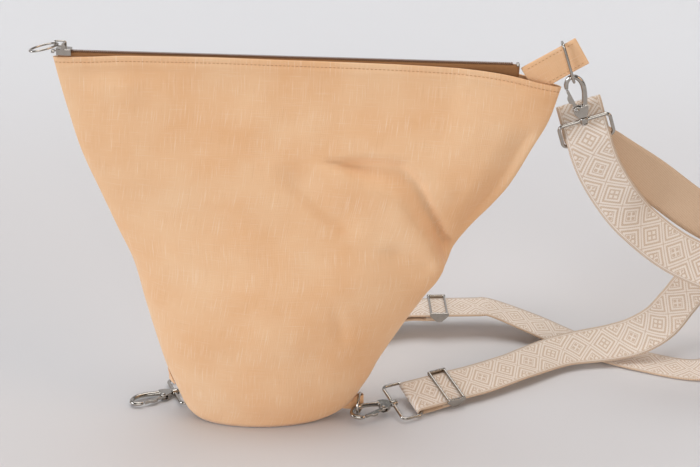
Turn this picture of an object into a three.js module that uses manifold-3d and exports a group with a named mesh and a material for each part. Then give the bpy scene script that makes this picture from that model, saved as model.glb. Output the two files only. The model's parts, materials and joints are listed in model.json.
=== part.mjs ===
import * as THREE from 'three';
import { mergeVertices } from 'three/addons/utils/BufferGeometryUtils.js';
import Module from 'manifold-3d';

const wasm = await Module();
wasm.setup();

// Millimetres, +Z up, +X to the right and -Y to the front of the bag, origin under the middle of the base.
const CLEAR = 0.35; // between pieces that touch or move on each other

// Bag
const BASE_LENGTH = 122;
const BASE_DEPTH = 50;
const BASE_THICK = 2;
const WALL = 1.5; // canvas with its facing
const ZIP_START = [-160, 348]; // X, Z of the closed end of the zip
const ZIP_END = [218, 336.5]; // X, Z of the open end
const HEM_DROP = 4.5; // top edge of the panels below the zip line
const CORNER_DROP = 14; // how far the top edge falls at the right corner
const CORNER_START = 150;
const LEFT_EDGE = [
  [-69, 10], [-77, 31], [-86, 58], [-100, 119], [-108.5, 160], [-120, 190], [-133, 225], [-146, 262],
  [-155, 300], [-159.5, 322], [-163, 342.6],
]; // X, Z of the left seam above the base
const RIGHT_EDGE = [
  [74, 7.5], [84, 16], [93, 31], [101, 45], [108, 60], [130, 97], [148.5, 125], [160, 142], [167, 157],
  [173, 173], [185.5, 190], [204.5, 211], [216.5, 226], [225, 240], [235.5, 260], [248.5, 284], [257.5, 313],
];
const FULLNESS = [
  [0, 25], [0.04, 29], [0.1, 35], [0.2, 41], [0.32, 43], [0.5, 36], [0.7, 23], [0.85, 11.5],
  [0.94, 5.4], [1, 3.4],
]; // height from 0 to 1, half depth
const CORNER_FULLNESS = 2.4; // extra half depth round the top tab
const BINDING_WIDTH = 6;
const BINDING_THICK = 1;
const BINDING_INSET = [1.4, 2]; // inside the left and right seam lines
const BINDING_FROM = 24;
const BINDING_TO = 272;

// Zip
const TAPE_THICK = 1;
const TAPE_HEIGHT = 15;
const TAPE_INSET = 22; // start of the tapes inside the closed end of the zip
const RAIL_HALF = 3.2;
const RAIL_HEIGHT = 3;
const TOOTH_PITCH = 7.2;
const TOOTH_WIDTH = 3.1;
const STOP_LENGTH = 2.6;
const SLIDER_LENGTH = 14;
const SLIDER_WALL = 1.4;
const LUG_RISE = 3.2; // pull bar above the slider's roof
const LUG_BAR = 1; // radius
const LINK_WIRE = 0.7; // radius
const LINK_LENGTH = 9.6;
const PULL_LENGTH = 24;
const PULL_WIDTH = 14;
const PULL_WIRE = 0.9; // radius
const PULL_WAY = [-0.8, -0.56, -0.1];

// Webbing
const STRAP_WIDTH = 38;
const STRAP_THICK = 1.6;

// Swivel trigger hooks: x runs from the ring's boss to the tip, y across, z through the flat of the hook
const RING_WIRE = 1.6; // radius
const RING_SPAN = 20; // between the two long bars
const BOSS_RADIUS = 3.4;
const BOSS_HALF = 2.6;
const POST_RADIUS = 1.7;
const HEAD_RADIUS = 2.9;
const HEAD_THICK = 2;
const HOOK_LENGTH = 44;
const HOOK_HALF = 2.7; // half thickness of the hook's foot
const PIVOT = [11.5, -3.2];
const PIN_RADIUS = 0.9;
const PIN_HEAD = 1.8;
const GATE_HALF = 1.4;
const GATE_TIP = [31.3, -7];
const BOW = [
  [10, 3.2, 2.6, 2.3], [16, 4.5, 2.6, 2.3], [22, 5.9, 2.4, 2.3], [28, 6.7, 2.3, 2.3], [33, 6.6, 2.3, 2.3],
  [37.6, 5, 2.2, 2.2], [40.6, 2.4, 2.2, 2.2], [41.8, -0.6, 2.2, 2.2], [40.6, -3.6, 2.1, 2.2],
  [37.9, -5.9, 2, 2.1], [34.8, -6.9, 1.8, 2], [32.3, -7.1, 1.5, 1.8],
]; // x, y, half width, half thickness along the fixed arm, round the bow and down to the nose

// Where the three hooks lie: middle of the boss, way to the tip, way along the ring's bars
const TOP_RING_UP = [-0.323, 0, 0.946];
const TOP_RING_INNER = [32, 8];
const TOP_RING_WIRE = 1.3;
const TOP_HOOK_WAY = [-0.308, -0.095, 0.947];
const TOP_HOOK_ACROSS = [0.95, 0, 0.31];
const A_BOSS = [121, 0.9, 9.5];
const A_WAY = [-0.9, -0.436, 0];
const A_ACROSS = [-0.42, 0.875, 0.24];
const B_BOSS = [-84, 29.5, 4];
const B_WAY = [-0.91, -0.4, 0];
const B_ACROSS = [-0.4, 0.91, 0];

// Tabs and D-rings
const TAB_WIDTH = 25;
const TAB_LENGTH = 50;
const TAB_LAYER = 0.9;
const TAB_ROOT = [10.64, -14.25]; // X, Z of the sewn end of the top tab from the open end of the zip
const TAB_RISE = 31; // degrees
const RING_ON_TAB = [-14.2, -2.89]; // middle of the top ring from the tab's folded end, along and across it
const D_WIRE = 1.5; // radius
const D_REACH = 16;
const D_HALF = 9.5;
const SIDE_TAB_HALF = 7.3;
const SIDE_TAB_LAYER = 1.2;
const D_ON_HOOK = [27.3, 12.8]; // right D-ring's bar beside the hook, in the hook's own x and y
const D_IN_BOW = [36.5, -0.3]; // far side of the right D-ring inside the bow
const LEFT_D_BAR = [-82.3, 10, 38];
const LEFT_D_WAY = [0.2, 0.98, 0];

// Sliding adjusters: x along the webbing away from the lower ring, y across, z out of the patterned face
const GLIDE_BAR = 1.2; // radius
const GLIDE_HALF = 8; // outer bars from the middle bar
const GLIDE_CHEEK = 1.8;
const TAIL_LENGTH = 14;
const TAIL_LAYER = 1.4;
const A_GLIDE_AT = 36; // from the lower ring's strap bar
const B_GLIDE = [171, 158, 26];
const B_GLIDE_WAY = [1, 0.03, 0];
const B_STRAIGHT = [50, 42, 12, -32]; // along adjuster B, where the webbing runs straight through it

// Route of the middle of the webbing between its ends, and its roll from upright in degrees
const SIDE_A_ROUTE = [
  [240, 62, 12.5], [291, 92, 13.5], [341, 98, 19.5], [363, 99, 26], [385, 101, 40], [402, 106, 60], [419, 112, 80],
  [450, 119, 98], [481, 110, 107], [504, 86, 111], [512, 52, 113], [482, 22, 119], [431, 11, 133], [373, 8, 158],
  [334, 7, 188],
];
const SIDE_A_ROLL = [-80, -70, -52, -40, -29, -23, -22, -30, -50, -75, -105, -140, -155, -159, -160];
const TOP_APPROACH = [[-74, -8, 10], [-46, -6, 2]]; // along the upper hook, behind it and to its right
const TOP_FOLD = [
  [-28, -4], [-20, -3], [-14, 0.2], [-8, 3.6], [-2, 5.2], [6, 6], [10.5, 6.8], [12.6, 8.4], [12.8, 10.4],
  [11, 12.2], [6, 13.2], [-8, 14], [-24, 15],
]; // along the upper hook and behind it
const SIDE_B_ROUTE = [
  [309, 25, 247], [345, 27, 223], [388, 28, 191], [450, 38, 153], [503, 58, 108], [521, 84, 66],
  [505, 96, 28], [468, 88, 8], [422, 74, 2], [367, 92, 1.6], [312, 121, 4], [266, 146, 14],
];
const SIDE_B_ROLL = [165, 161, 161, 165, 185, 212, 245, 265, 270, 270, 270, 270];
const BEHIND_BAG = [[106, 146, 20.5], [67, 121, 11.5], [25, 79, 7]]; // upper layer of side B's doubled end
const BEHIND_GAP = [3.6, 3.2, 3.4]; // down to its lower layer

const CANVAS = { color: 0xe6b488, roughness: 0.9, metalness: 0 };
const TAPE = { color: 0x8f6440, roughness: 0.85, metalness: 0 };
const COIL = { color: 0x6f4a2e, roughness: 0.6, metalness: 0 };
const WEBBING = { color: 0xd8c3ad, roughness: 0.9, metalness: 0 };
const NICKEL = { color: 0xb9b4ac, roughness: 0.25, metalness: 1 };

const part = new THREE.Group();
part.name = 'backpack';

const vec = (p) => new THREE.Vector3(p[0], p[1], p[2]);
const unit = (p) => vec(p).normalize();
const clamp01 = (t) => Math.min(1, Math.max(0, t));
const ease = (t) => clamp01(t) ** 2 * (3 - 2 * clamp01(t));

function add(name, geometry, finish) {
  const mesh = new THREE.Mesh(geometry, new THREE.MeshStandardMaterial(finish));
  mesh.name = name;
  part.add(mesh);
}

// Closed body from points and triangles, turned so that its faces look outward
function closed(points, faces) {
  let volume = 0;
  for (const [a, b, c] of faces) {
    volume += points[a].dot(points[b].clone().cross(points[c]));
  }
  const index = faces.flatMap(([a, b, c]) => (volume > 0 ? [a, b, c] : [a, c, b]));
  const geometry = new THREE.BufferGeometry();
  const flat = points.flatMap((p) => p.toArray());
  geometry.setAttribute('position', new THREE.Float32BufferAttribute(flat, 3));
  geometry.setIndex(index);
  geometry.computeVertexNormals();
  return geometry;
}

// Body through equal rings of points, either a loop or with its two ends capped
function loft(rings, loop) {
  const n = rings[0].length;
  const faces = [];
  const bands = loop ? rings.length : rings.length - 1;
  for (let j = 0; j < bands; j += 1) {
    const a = j * n;
    const b = ((j + 1) % rings.length) * n;
    for (let i = 0; i < n; i += 1) {
      const k = (i + 1) % n;
      faces.push([a + i, a + k, b + k], [a + i, b + k, b + i]);
    }
  }
  if (!loop) {
    const end = (rings.length - 1) * n;
    for (let i = 1; i < n - 1; i += 1) {
      faces.push([0, i + 1, i], [end, end + i, end + i + 1]);
    }
  }
  return closed(rings.flat(), faces);
}

function circle(centre, a, b, sides) {
  return Array.from({ length: sides }, (_, i) => {
    const turn = (2 * Math.PI * i) / sides;
    return centre.clone().addScaledVector(a, Math.cos(turn)).addScaledVector(b, Math.sin(turn));
  });
}

function rod(from, to, radius, sides = 12) {
  const along = to.clone().sub(from).normalize();
  const side = Math.abs(along.z) > 0.9 ? vec([1, 0, 0]) : vec([0, 0, 1]);
  const a = side.cross(along).normalize();
  const b = along.clone().cross(a);
  a.multiplyScalar(radius);
  b.multiplyScalar(radius);
  return loft([circle(from, a, b, sides), circle(to, a, b, sides)], false);
}

function block(x, y, z) {
  const box = new THREE.BoxGeometry(x[1] - x[0], y[1] - y[0], z[1] - z[0]);
  return box.translate((x[0] + x[1]) / 2, (y[0] + y[1]) / 2, (z[0] + z[1]) / 2);
}

// Corners of a flat loop rounded off, each with its own radius
function rounded(corners, steps = 4) {
  return corners.flatMap(([x, y, radius], i) => {
    const here = new THREE.Vector2(x, y);
    const before = corners[(i + corners.length - 1) % corners.length];
    const after = corners[(i + 1) % corners.length];
    const back = new THREE.Vector2(before[0] - x, before[1] - y).normalize();
    const on = new THREE.Vector2(after[0] - x, after[1] - y).normalize();
    const half = Math.acos(back.dot(on)) / 2;
    const cut = radius / Math.tan(half);
    const middle = here.clone().addScaledVector(back.clone().add(on).normalize(), radius / Math.sin(half));
    const first = here.clone().addScaledVector(back, cut).sub(middle);
    const last = here.clone().addScaledVector(on, cut).sub(middle);
    const start = first.angle();
    let sweep = last.angle() - start;
    if (sweep > Math.PI) sweep -= 2 * Math.PI;
    if (sweep < -Math.PI) sweep += 2 * Math.PI;
    return Array.from({ length: steps + 1 }, (_, k) => {
      const turn = start + (sweep * k) / steps;
      return [middle.x + radius * Math.cos(turn), middle.y + radius * Math.sin(turn)];
    });
  });
}

// Round wire bent into a flat closed loop
function wireLoop(path, radius, sides = 8) {
  const rings = path.map(([x, y], i) => {
    const before = path[(i + path.length - 1) % path.length];
    const after = path[(i + 1) % path.length];
    const out = new THREE.Vector3(after[1] - before[1], before[0] - after[0], 0).setLength(radius);
    return circle(vec([x, y, 0]), out, vec([0, 0, radius]), sides);
  });
  return loft(rings, true);
}

function prism(outline, low, high) {
  const shape = new THREE.Shape(outline.map(([x, y]) => new THREE.Vector2(x, y)));
  return new THREE.ExtrudeGeometry(shape, { depth: high - low, bevelEnabled: false }).translate(0, 0, low);
}

function solid(geometry) {
  const bare = new THREE.BufferGeometry();
  bare.setAttribute('position', geometry.getAttribute('position').clone());
  if (geometry.index) bare.setIndex(geometry.index.clone());
  const merged = mergeVertices(bare, 1e-4);
  return new wasm.Manifold(new wasm.Mesh({
    numProp: 3,
    vertProperties: new Float32Array(merged.getAttribute('position').array),
    triVerts: new Uint32Array(merged.index.array),
  }));
}

function meshed(body) {
  const { vertProperties, triVerts } = body.getMesh();
  const geometry = new THREE.BufferGeometry();
  geometry.setAttribute('position', new THREE.Float32BufferAttribute(Array.from(vertProperties), 3));
  geometry.setIndex(Array.from(triVerts));
  geometry.computeVertexNormals();
  return geometry;
}

function joined(pieces, cuts = []) {
  const whole = pieces.map(solid).reduce((a, b) => a.add(b));
  return meshed(cuts.map(solid).reduce((a, b) => a.subtract(b), whole));
}

// Frame with its x along one way and its y as near as it can be to another
function frame(origin, way, across) {
  const x = unit(way);
  const y = vec(across).addScaledVector(x, -vec(across).dot(x)).normalize();
  const z = x.clone().cross(y);
  const matrix = new THREE.Matrix4().makeBasis(x, y, z).setPosition(vec(origin));
  const at = (a, b, c) => vec([a, b, c]).applyMatrix4(matrix);
  return { x, y, z, matrix, at };
}

// Smooth value from a table of [key, value]
function along(table, key) {
  const last = table.length - 1;
  const i = Math.min(last - 1, Math.max(0, table.findIndex(([k]) => k > key) - 1));
  const at = table[key >= table[last][0] ? last - 1 : i];
  const n = table.indexOf(at);
  const slope = (k) => {
    const a = table[Math.max(0, k - 1)];
    const b = table[Math.min(last, k + 1)];
    return (b[1] - a[1]) / (b[0] - a[0]);
  };
  const next = table[n + 1];
  const run = next[0] - at[0];
  const t = clamp01((key - at[0]) / run);
  const rise = t * t * (3 - 2 * t);
  const bend = t * (1 - t) * ((1 - t) * slope(n) - t * slope(n + 1)) * run;
  return at[1] + (next[1] - at[1]) * rise + bend;
}

// Bag body: two panels lofted from the oval base to the straight zip
const zipWay = unit([ZIP_END[0] - ZIP_START[0], 0, ZIP_END[1] - ZIP_START[1]]);
const zip = frame([ZIP_START[0], 0, ZIP_START[1]], zipWay.toArray(), [0, 1, 0]);
const railLength = Math.hypot(ZIP_END[0] - ZIP_START[0], ZIP_END[1] - ZIP_START[1]);
const floorOfBag = BASE_THICK + CLEAR;
const leftSeam = [[floorOfBag, -BASE_LENGTH / 2], ...LEFT_EDGE.map(([x, z]) => [z, x])];
const rightSeam = [[floorOfBag, BASE_LENGTH / 2], ...RIGHT_EDGE.map(([x, z]) => [z, x])];
const leftTop = leftSeam[leftSeam.length - 1];
const rightTop = rightSeam[rightSeam.length - 1];

function topEdge(x) {
  const line = ZIP_START[1] + (zipWay.z / zipWay.x) * (x - ZIP_START[0]) - HEM_DROP;
  const past = clamp01((x - CORNER_START) / (rightTop[1] - CORNER_START));
  return line - CORNER_DROP * past ** 1.5;
}

function panelPoint(turn, v) {
  const s = (1 - Math.cos(turn)) / 2;
  const topX = leftTop[1] + (rightTop[1] - leftTop[1]) * s;
  const lowX = BASE_LENGTH * (s - 0.5);
  const ends = [leftTop[0], rightTop[0]].map((top) => floorOfBag + v * (top - floorOfBag));
  const left = [along(leftSeam, ends[0]), ends[0]];
  const right = [along(rightSeam, ends[1]), ends[1]];
  const across = (a, b) => a + (b - a) * s;
  const x = across(left[0], right[0]) + (1 - v) * lowX + v * topX
    - across((1 - v) * -BASE_LENGTH / 2 + v * leftTop[1], (1 - v) * BASE_LENGTH / 2 + v * rightTop[1]);
  const flatTop = across(leftTop[0], rightTop[0]);
  const z = across(left[1], right[1]) + v ** 4 * (topEdge(topX) - flatTop);
  const square = 2 + 12 * ease((v - 0.6) / 0.4);
  const round = Math.sqrt(Math.max(0, 1 - Math.abs(Math.cos(turn)) ** square));
  const corner = Math.sqrt(Math.sin(Math.PI * clamp01((s - 0.8) / 0.2))) * ease((v - 0.72) / 0.2);
  const half = along(FULLNESS, v) * round + CORNER_FULLNESS * corner;
  return vec([x, -half - CLEAR / 2, z]);
}

function panel(side) {
  const turns = 26;
  const heights = [0, 0.02, 0.05, 0.09, 0.14, 0.2, 0.28, 0.36, 0.44, 0.52, 0.6, 0.68, 0.76, 0.83, 0.89, 0.94, 0.97, 1];
  const outer = [];
  const inner = [];
  for (const v of heights) {
    for (let i = 0; i <= turns; i += 1) {
      const turn = (Math.PI * i) / turns;
      const here = panelPoint(turn, v);
      const a = panelPoint(turn + 1e-3, v).sub(panelPoint(turn - 1e-3, v));
      const b = panelPoint(turn, Math.min(1, v + 1e-3)).sub(panelPoint(turn, Math.max(0, v - 1e-3)));
      const out = a.cross(b).normalize();
      const deep = here.clone().addScaledVector(out, -WALL);
      deep.y = Math.min(deep.y, -CLEAR / 2);
      deep.z = v === 0 ? here.z : Math.max(deep.z, floorOfBag + 0.05);
      outer.push(here);
      inner.push(deep);
    }
  }
  const points = [...outer, ...inner];
  if (side > 0) points.forEach((p) => p.setY(-p.y));
  const n = turns + 1;
  const off = outer.length;
  const faces = [];
  const quad = (a, b, c, d) => faces.push([a, b, c], [a, c, d]);
  for (let j = 0; j < heights.length - 1; j += 1) {
    const low = j * n;
    const high = low + n;
    for (let i = 0; i < turns; i += 1) {
      quad(low + i, low + i + 1, high + i + 1, high + i);
      quad(off + low + i + 1, off + low + i, off + high + i, off + high + i + 1);
    }
    quad(off + low, low, high, off + high);
    quad(low + turns, off + low + turns, off + high + turns, high + turns);
  }
  const top = (heights.length - 1) * n;
  for (let i = 0; i < turns; i += 1) {
    quad(off + i, off + i + 1, i + 1, i);
    quad(top + i, top + i + 1, off + top + i + 1, off + top + i);
  }
  return closed(points, faces);
}

add('front_panel', panel(-1), CANVAS);
add('back_panel', panel(1), CANVAS);

const baseRing = (z) => circle(
  vec([0, 0, z]), vec([BASE_LENGTH / 2, 0, 0]), vec([0, BASE_DEPTH / 2, 0]), 40,
);
add('base_panel', loft([baseRing(0), baseRing(BASE_THICK)], false), CANVAS);

function binding(seam, inset) {
  const steps = 14;
  const rings = Array.from({ length: steps + 1 }, (_, i) => {
    const z = BINDING_FROM + ((BINDING_TO - BINDING_FROM) * i) / steps;
    const near = along(seam, z) + inset;
    const far = near + Math.sign(inset) * BINDING_WIDTH;
    const half = BINDING_THICK / 2;
    return [vec([near, -half, z]), vec([far, -half, z]), vec([far, half, z]), vec([near, half, z])];
  });
  return loft(rings, false);
}
add('left_seam_binding', binding(leftSeam, BINDING_INSET[0]), TAPE);
add('right_seam_binding', binding(rightSeam, -BINDING_INSET[1]), TAPE);

// Zip: two tapes, two interlocking tooth rows, end stops and a slider that rides on the rows
const placed = (geometry, where) => geometry.applyMatrix4(where.matrix);
const tapeTop = -RAIL_HEIGHT / 2 - CLEAR;
const tapeIn = 0.7;
for (const [name, side] of [['front', -1], ['back', 1]]) {
  const y = [side * tapeIn, side * (tapeIn + TAPE_THICK)].sort((a, b) => a - b);
  const reach = STOP_LENGTH + CLEAR;
  const tape = block([TAPE_INSET, railLength + reach], y, [tapeTop - TAPE_HEIGHT, tapeTop]);
  add(`zip_tape_${name}`, placed(tape, zip), TAPE);
  const spine = RAIL_HALF / 3;
  const tip = spine - CLEAR;
  const shift = side < 0 ? 0 : TOOTH_PITCH / 2;
  const teeth = [];
  for (let x = shift + 0.2; x + TOOTH_WIDTH < railLength; x += TOOTH_PITCH) {
    const end = x + TOOTH_WIDTH;
    teeth.push([x, side * spine], [x, -side * tip], [end, -side * tip], [end, side * spine]);
  }
  const outline = [[0, side * RAIL_HALF], [0, side * spine], ...teeth,
    [railLength, side * spine], [railLength, side * RAIL_HALF]];
  const row = prism(outline, -RAIL_HEIGHT / 2, RAIL_HEIGHT / 2);
  add(`zip_teeth_${name}`, placed(row, zip), COIL);
}
for (const [name, x] of [['left', -STOP_LENGTH - CLEAR], ['right', railLength + CLEAR]]) {
  const stop = block([x, x + STOP_LENGTH], [-RAIL_HALF, RAIL_HALF], [-RAIL_HEIGHT / 2, RAIL_HEIGHT / 2]);
  add(`zip_stop_${name}`, placed(stop, zip), NICKEL);
}

const cavity = [RAIL_HALF + CLEAR, RAIL_HEIGHT / 2 + CLEAR];
const slider = [cavity[0] + SLIDER_WALL, cavity[1] + SLIDER_WALL];
const sliderX = [CLEAR, CLEAR + SLIDER_LENGTH];
const sliderMiddle = (sliderX[0] + sliderX[1]) / 2;
const barHeight = slider[1] + LUG_RISE;
const slot = tapeIn + TAPE_THICK + CLEAR;
const lugY = [LINK_WIRE + CLEAR + 0.6, slider[0] - 0.6];
const cheek = (side) => block(
  [sliderMiddle - 1.3, sliderMiddle + 1.3],
  [side * lugY[0], side * lugY[1]].sort((a, b) => a - b),
  [slider[1] - 0.4, barHeight + LUG_BAR],
);
const lugBar = rod(
  vec([sliderMiddle, -lugY[1] + 0.2, barHeight]), vec([sliderMiddle, lugY[1] - 0.2, barHeight]), LUG_BAR,
);
add('zip_slider', placed(joined([
  block(sliderX, [-slider[0], slider[0]], [-slider[1], slider[1]]), cheek(-1), cheek(1), lugBar,
], [
  block([-5, 30], [-cavity[0], cavity[0]], [-cavity[1], cavity[1]]),
  block([-5, 30], [-slot, slot], [-slider[1] - 1, 0]),
]), zip), NICKEL);

const linkHigh = LUG_BAR + LINK_WIRE + 0.45;
const linkNear = LUG_BAR + LINK_WIRE + 0.2;
const linkFar = linkNear - LINK_LENGTH;
const linkPath = rounded([
  [linkNear, -linkHigh, 1.7], [linkNear, linkHigh, 1.7], [linkFar, linkHigh, 1.7], [linkFar, -linkHigh, 1.7],
]);
const lug = frame(zip.at(sliderMiddle, 0, barHeight).toArray(), zip.x.toArray(), zip.z.toArray());
add('pull_link', placed(wireLoop(linkPath, LINK_WIRE, 8), lug), NICKEL);

const hang = lug.at(linkFar + LINK_WIRE + PULL_WIRE + 0.8, 0, 0);
const pull = frame(hang.toArray(), PULL_WAY, [0, 1, 0]);
const pullPath = Array.from({ length: 28 }, (_, i) => {
  const turn = (2 * Math.PI * i) / 28;
  return [(PULL_LENGTH / 2) * (1 - Math.cos(turn)), (PULL_WIDTH / 2) * Math.sin(turn)];
});
add('pull_ring', placed(wireLoop(pullPath, PULL_WIRE, 8), pull), NICKEL);

// Top tab: a canvas strip folded back on itself, with the ring round it
const rise = THREE.MathUtils.degToRad(TAB_RISE);
const tabWay = vec([Math.cos(rise), 0, Math.sin(rise)]);
const tabRoot = vec([ZIP_END[0] + TAB_ROOT[0], 0, ZIP_END[1] + TAB_ROOT[1]]);
const tab = frame(tabRoot.addScaledVector(tabWay, TAB_LENGTH).toArray(), tabWay.toArray(), [0, 1, 0]);
const tabOut = CLEAR + TAB_LAYER;
const fold = [
  [-TAB_LENGTH, -tabOut], [-0.8, -tabOut], [0, -tabOut + 0.8], [0, tabOut - 0.8], [-0.8, tabOut],
  [-TAB_LENGTH, tabOut], [-TAB_LENGTH, CLEAR], [-TAB_LAYER, CLEAR], [-TAB_LAYER, -CLEAR], [-TAB_LENGTH, -CLEAR],
];
add('top_tab', placed(prism(fold, -TAB_WIDTH / 2, TAB_WIDTH / 2), tab), CANVAS);

const topRing = frame(tab.at(RING_ON_TAB[0], 0, RING_ON_TAB[1]).toArray(), TOP_RING_UP, [0, 1, 0]);
const topHalf = TOP_RING_INNER.map((inner) => inner / 2 + TOP_RING_WIRE);
const topPath = rounded([
  [topHalf[0], topHalf[1], 3], [-topHalf[0], topHalf[1], 3], [-topHalf[0], -topHalf[1], 3],
  [topHalf[0], -topHalf[1], 3],
]);
add('top_ring', placed(wireLoop(topPath, TOP_RING_WIRE), topRing), NICKEL);

// Swivel trigger hooks
const barHalf = STRAP_WIDTH / 2 + 1.5 + RING_WIRE;
function strapRing() {
  const path = rounded([
    [0, barHalf, 4], [-RING_SPAN, barHalf, 4], [-RING_SPAN, -barHalf, 4], [0, -barHalf, 4],
  ]);
  const boss = rod(vec([-BOSS_HALF, 0, 0]), vec([BOSS_HALF, 0, 0]), BOSS_RADIUS, 16);
  const bore = rod(vec([-BOSS_HALF - 2, 0, 0]), vec([BOSS_HALF + 2, 0, 0]), POST_RADIUS + CLEAR, 16);
  return joined([wireLoop(path, RING_WIRE), boss], [bore]);
}

function hookBody() {
  const rings = BOW.map(([x, y, wide, thick], i) => {
    const before = BOW[Math.max(0, i - 1)];
    const after = BOW[Math.min(BOW.length - 1, i + 1)];
    const out = new THREE.Vector3(after[1] - before[1], before[0] - after[0], 0).setLength(wide);
    return circle(vec([x, y, 0]), out, vec([0, 0, thick]), 10);
  });
  const neck = BOSS_HALF + 2 * CLEAR;
  const foot = prism([
    [neck, -3.2], [8.5, -6.2], [13, -6.1], [15, -3.2], [13.4, 0.8], [14, 6.6], [8, 5.8], [neck, 3.2],
  ], -HOOK_HALF, HOOK_HALF);
  const headFrom = -BOSS_HALF - CLEAR;
  const post = rod(vec([headFrom - HEAD_THICK, 0, 0]), vec([neck + 1, 0, 0]), POST_RADIUS);
  const head = rod(vec([headFrom - HEAD_THICK, 0, 0]), vec([headFrom, 0, 0]), HEAD_RADIUS);
  const fork = block([PIVOT[0] - 3.3, 25], [-12, 0.4], [-GATE_HALF - CLEAR, GATE_HALF + CLEAR]);
  const bore = rod(vec([...PIVOT, -5]), vec([...PIVOT, 5]), PIN_RADIUS + CLEAR);
  return joined([loft(rings, false), foot, post, head], [fork, bore]);
}

function gate() {
  const way = new THREE.Vector3(GATE_TIP[0] - PIVOT[0], GATE_TIP[1] - PIVOT[1], 0).normalize();
  const length = Math.hypot(GATE_TIP[0] - PIVOT[0], GATE_TIP[1] - PIVOT[1]);
  const bar = frame([...PIVOT, 0], way.toArray(), [-way.y, way.x, 0]);
  const eye = rod(vec([0, 0, -GATE_HALF]), vec([0, 0, GATE_HALF]), 2.5, 14);
  const arm = block([1, length], [-GATE_HALF, GATE_HALF], [-GATE_HALF, GATE_HALF]);
  const thumb = block([0.32 * length, 0.7 * length], [-GATE_HALF - 2, -0.5], [-GATE_HALF + 0.2, GATE_HALF - 0.2]);
  const bore = rod(vec([0, 0, -5]), vec([0, 0, 5]), PIN_RADIUS + CLEAR);
  return placed(joined([eye, arm, thumb], [bore]), bar);
}

function gatePin() {
  const under = HOOK_HALF + CLEAR;
  const end = under + 0.7;
  const disc = (side) => rod(vec([...PIVOT, side * under]), vec([...PIVOT, side * end]), PIN_HEAD);
  return joined([rod(vec([...PIVOT, -end]), vec([...PIVOT, end]), PIN_RADIUS), disc(-1), disc(1)]);
}

// The upper hook's bow hangs inside the lower end of the top ring
const bowRadius = BOW[7][2];
const bowMiddle = topRing.at(-topHalf[0] + TOP_RING_WIRE + bowRadius + 2 * CLEAR, 0, 0);
const topBoss = bowMiddle.clone().addScaledVector(unit(TOP_HOOK_WAY), bowRadius - HOOK_LENGTH);
const hooks = {
  top: frame(topBoss.toArray(), TOP_HOOK_WAY, TOP_HOOK_ACROSS),
  a: frame(A_BOSS, A_WAY, A_ACROSS),
  b: frame(B_BOSS, B_WAY, B_ACROSS),
};
for (const [name, where] of Object.entries(hooks)) {
  add(`strap_ring_${name}`, placed(strapRing(), where), NICKEL);
  add(`hook_${name}`, placed(hookBody(), where), NICKEL);
  add(`gate_${name}`, placed(gate(), where), NICKEL);
  add(`gate_pin_${name}`, placed(gatePin(), where), NICKEL);
}

// D-rings in canvas tabs at the lower ends of the two side seams
const dPath = rounded([
  [0, -D_HALF, 2.5], [0.55 * D_REACH, -D_HALF, 6], [D_REACH, -0.45 * D_HALF, 5], [D_REACH, 0.45 * D_HALF, 5],
  [0.55 * D_REACH, D_HALF, 6], [0, D_HALF, 2.5],
]);
function sideTab(name, bar, seam, way) {
  const where = frame(bar.toArray(), way.clone().setZ(0).toArray(), [0, 0, 1]);
  add(`${name}_d_ring`, placed(wireLoop(dPath, D_WIRE), where), NICKEL);
  const loop = D_WIRE + CLEAR + SIDE_TAB_LAYER;
  const rows = [-1, -0.6, -0.2, 0.2, 0.6, 1].map((share) => {
    const h = share * SIDE_TAB_HALF;
    const z = bar.z + h;
    const root = vec([along(seam, z), 0, z]);
    const out = vec([bar.x, bar.y, z]).sub(root).normalize();
    root.x += Math.sign(bar.x) * (3 * CLEAR + SIDE_TAB_LAYER * Math.abs(out.y));
    const side = vec([0, 0, 1]).cross(out);
    const round = [-90, -54, -18, 18, 54, 90].map((deg) => {
      const turn = THREE.MathUtils.degToRad(deg);
      return vec([bar.x, bar.y, z])
        .addScaledVector(out, loop * Math.cos(turn)).addScaledVector(side, loop * Math.sin(turn));
    });
    const edge = (k) => root.clone().addScaledVector(side, k * SIDE_TAB_LAYER);
    return [edge(-1), ...round, edge(1)];
  });
  const hole = rod(
    bar.clone().setZ(bar.z - D_HALF), bar.clone().setZ(bar.z + D_HALF), D_WIRE + CLEAR, 14,
  );
  add(`${name}_tab`, joined([loft(rows, false)], [hole]), CANVAS);
}
const rightBar = hooks.a.at(...D_ON_HOOK, 0);
sideTab('right', rightBar, rightSeam, hooks.a.at(...D_IN_BOW, 0).sub(rightBar));
sideTab('left', vec(LEFT_D_BAR), leftSeam, unit(LEFT_D_WAY));

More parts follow.
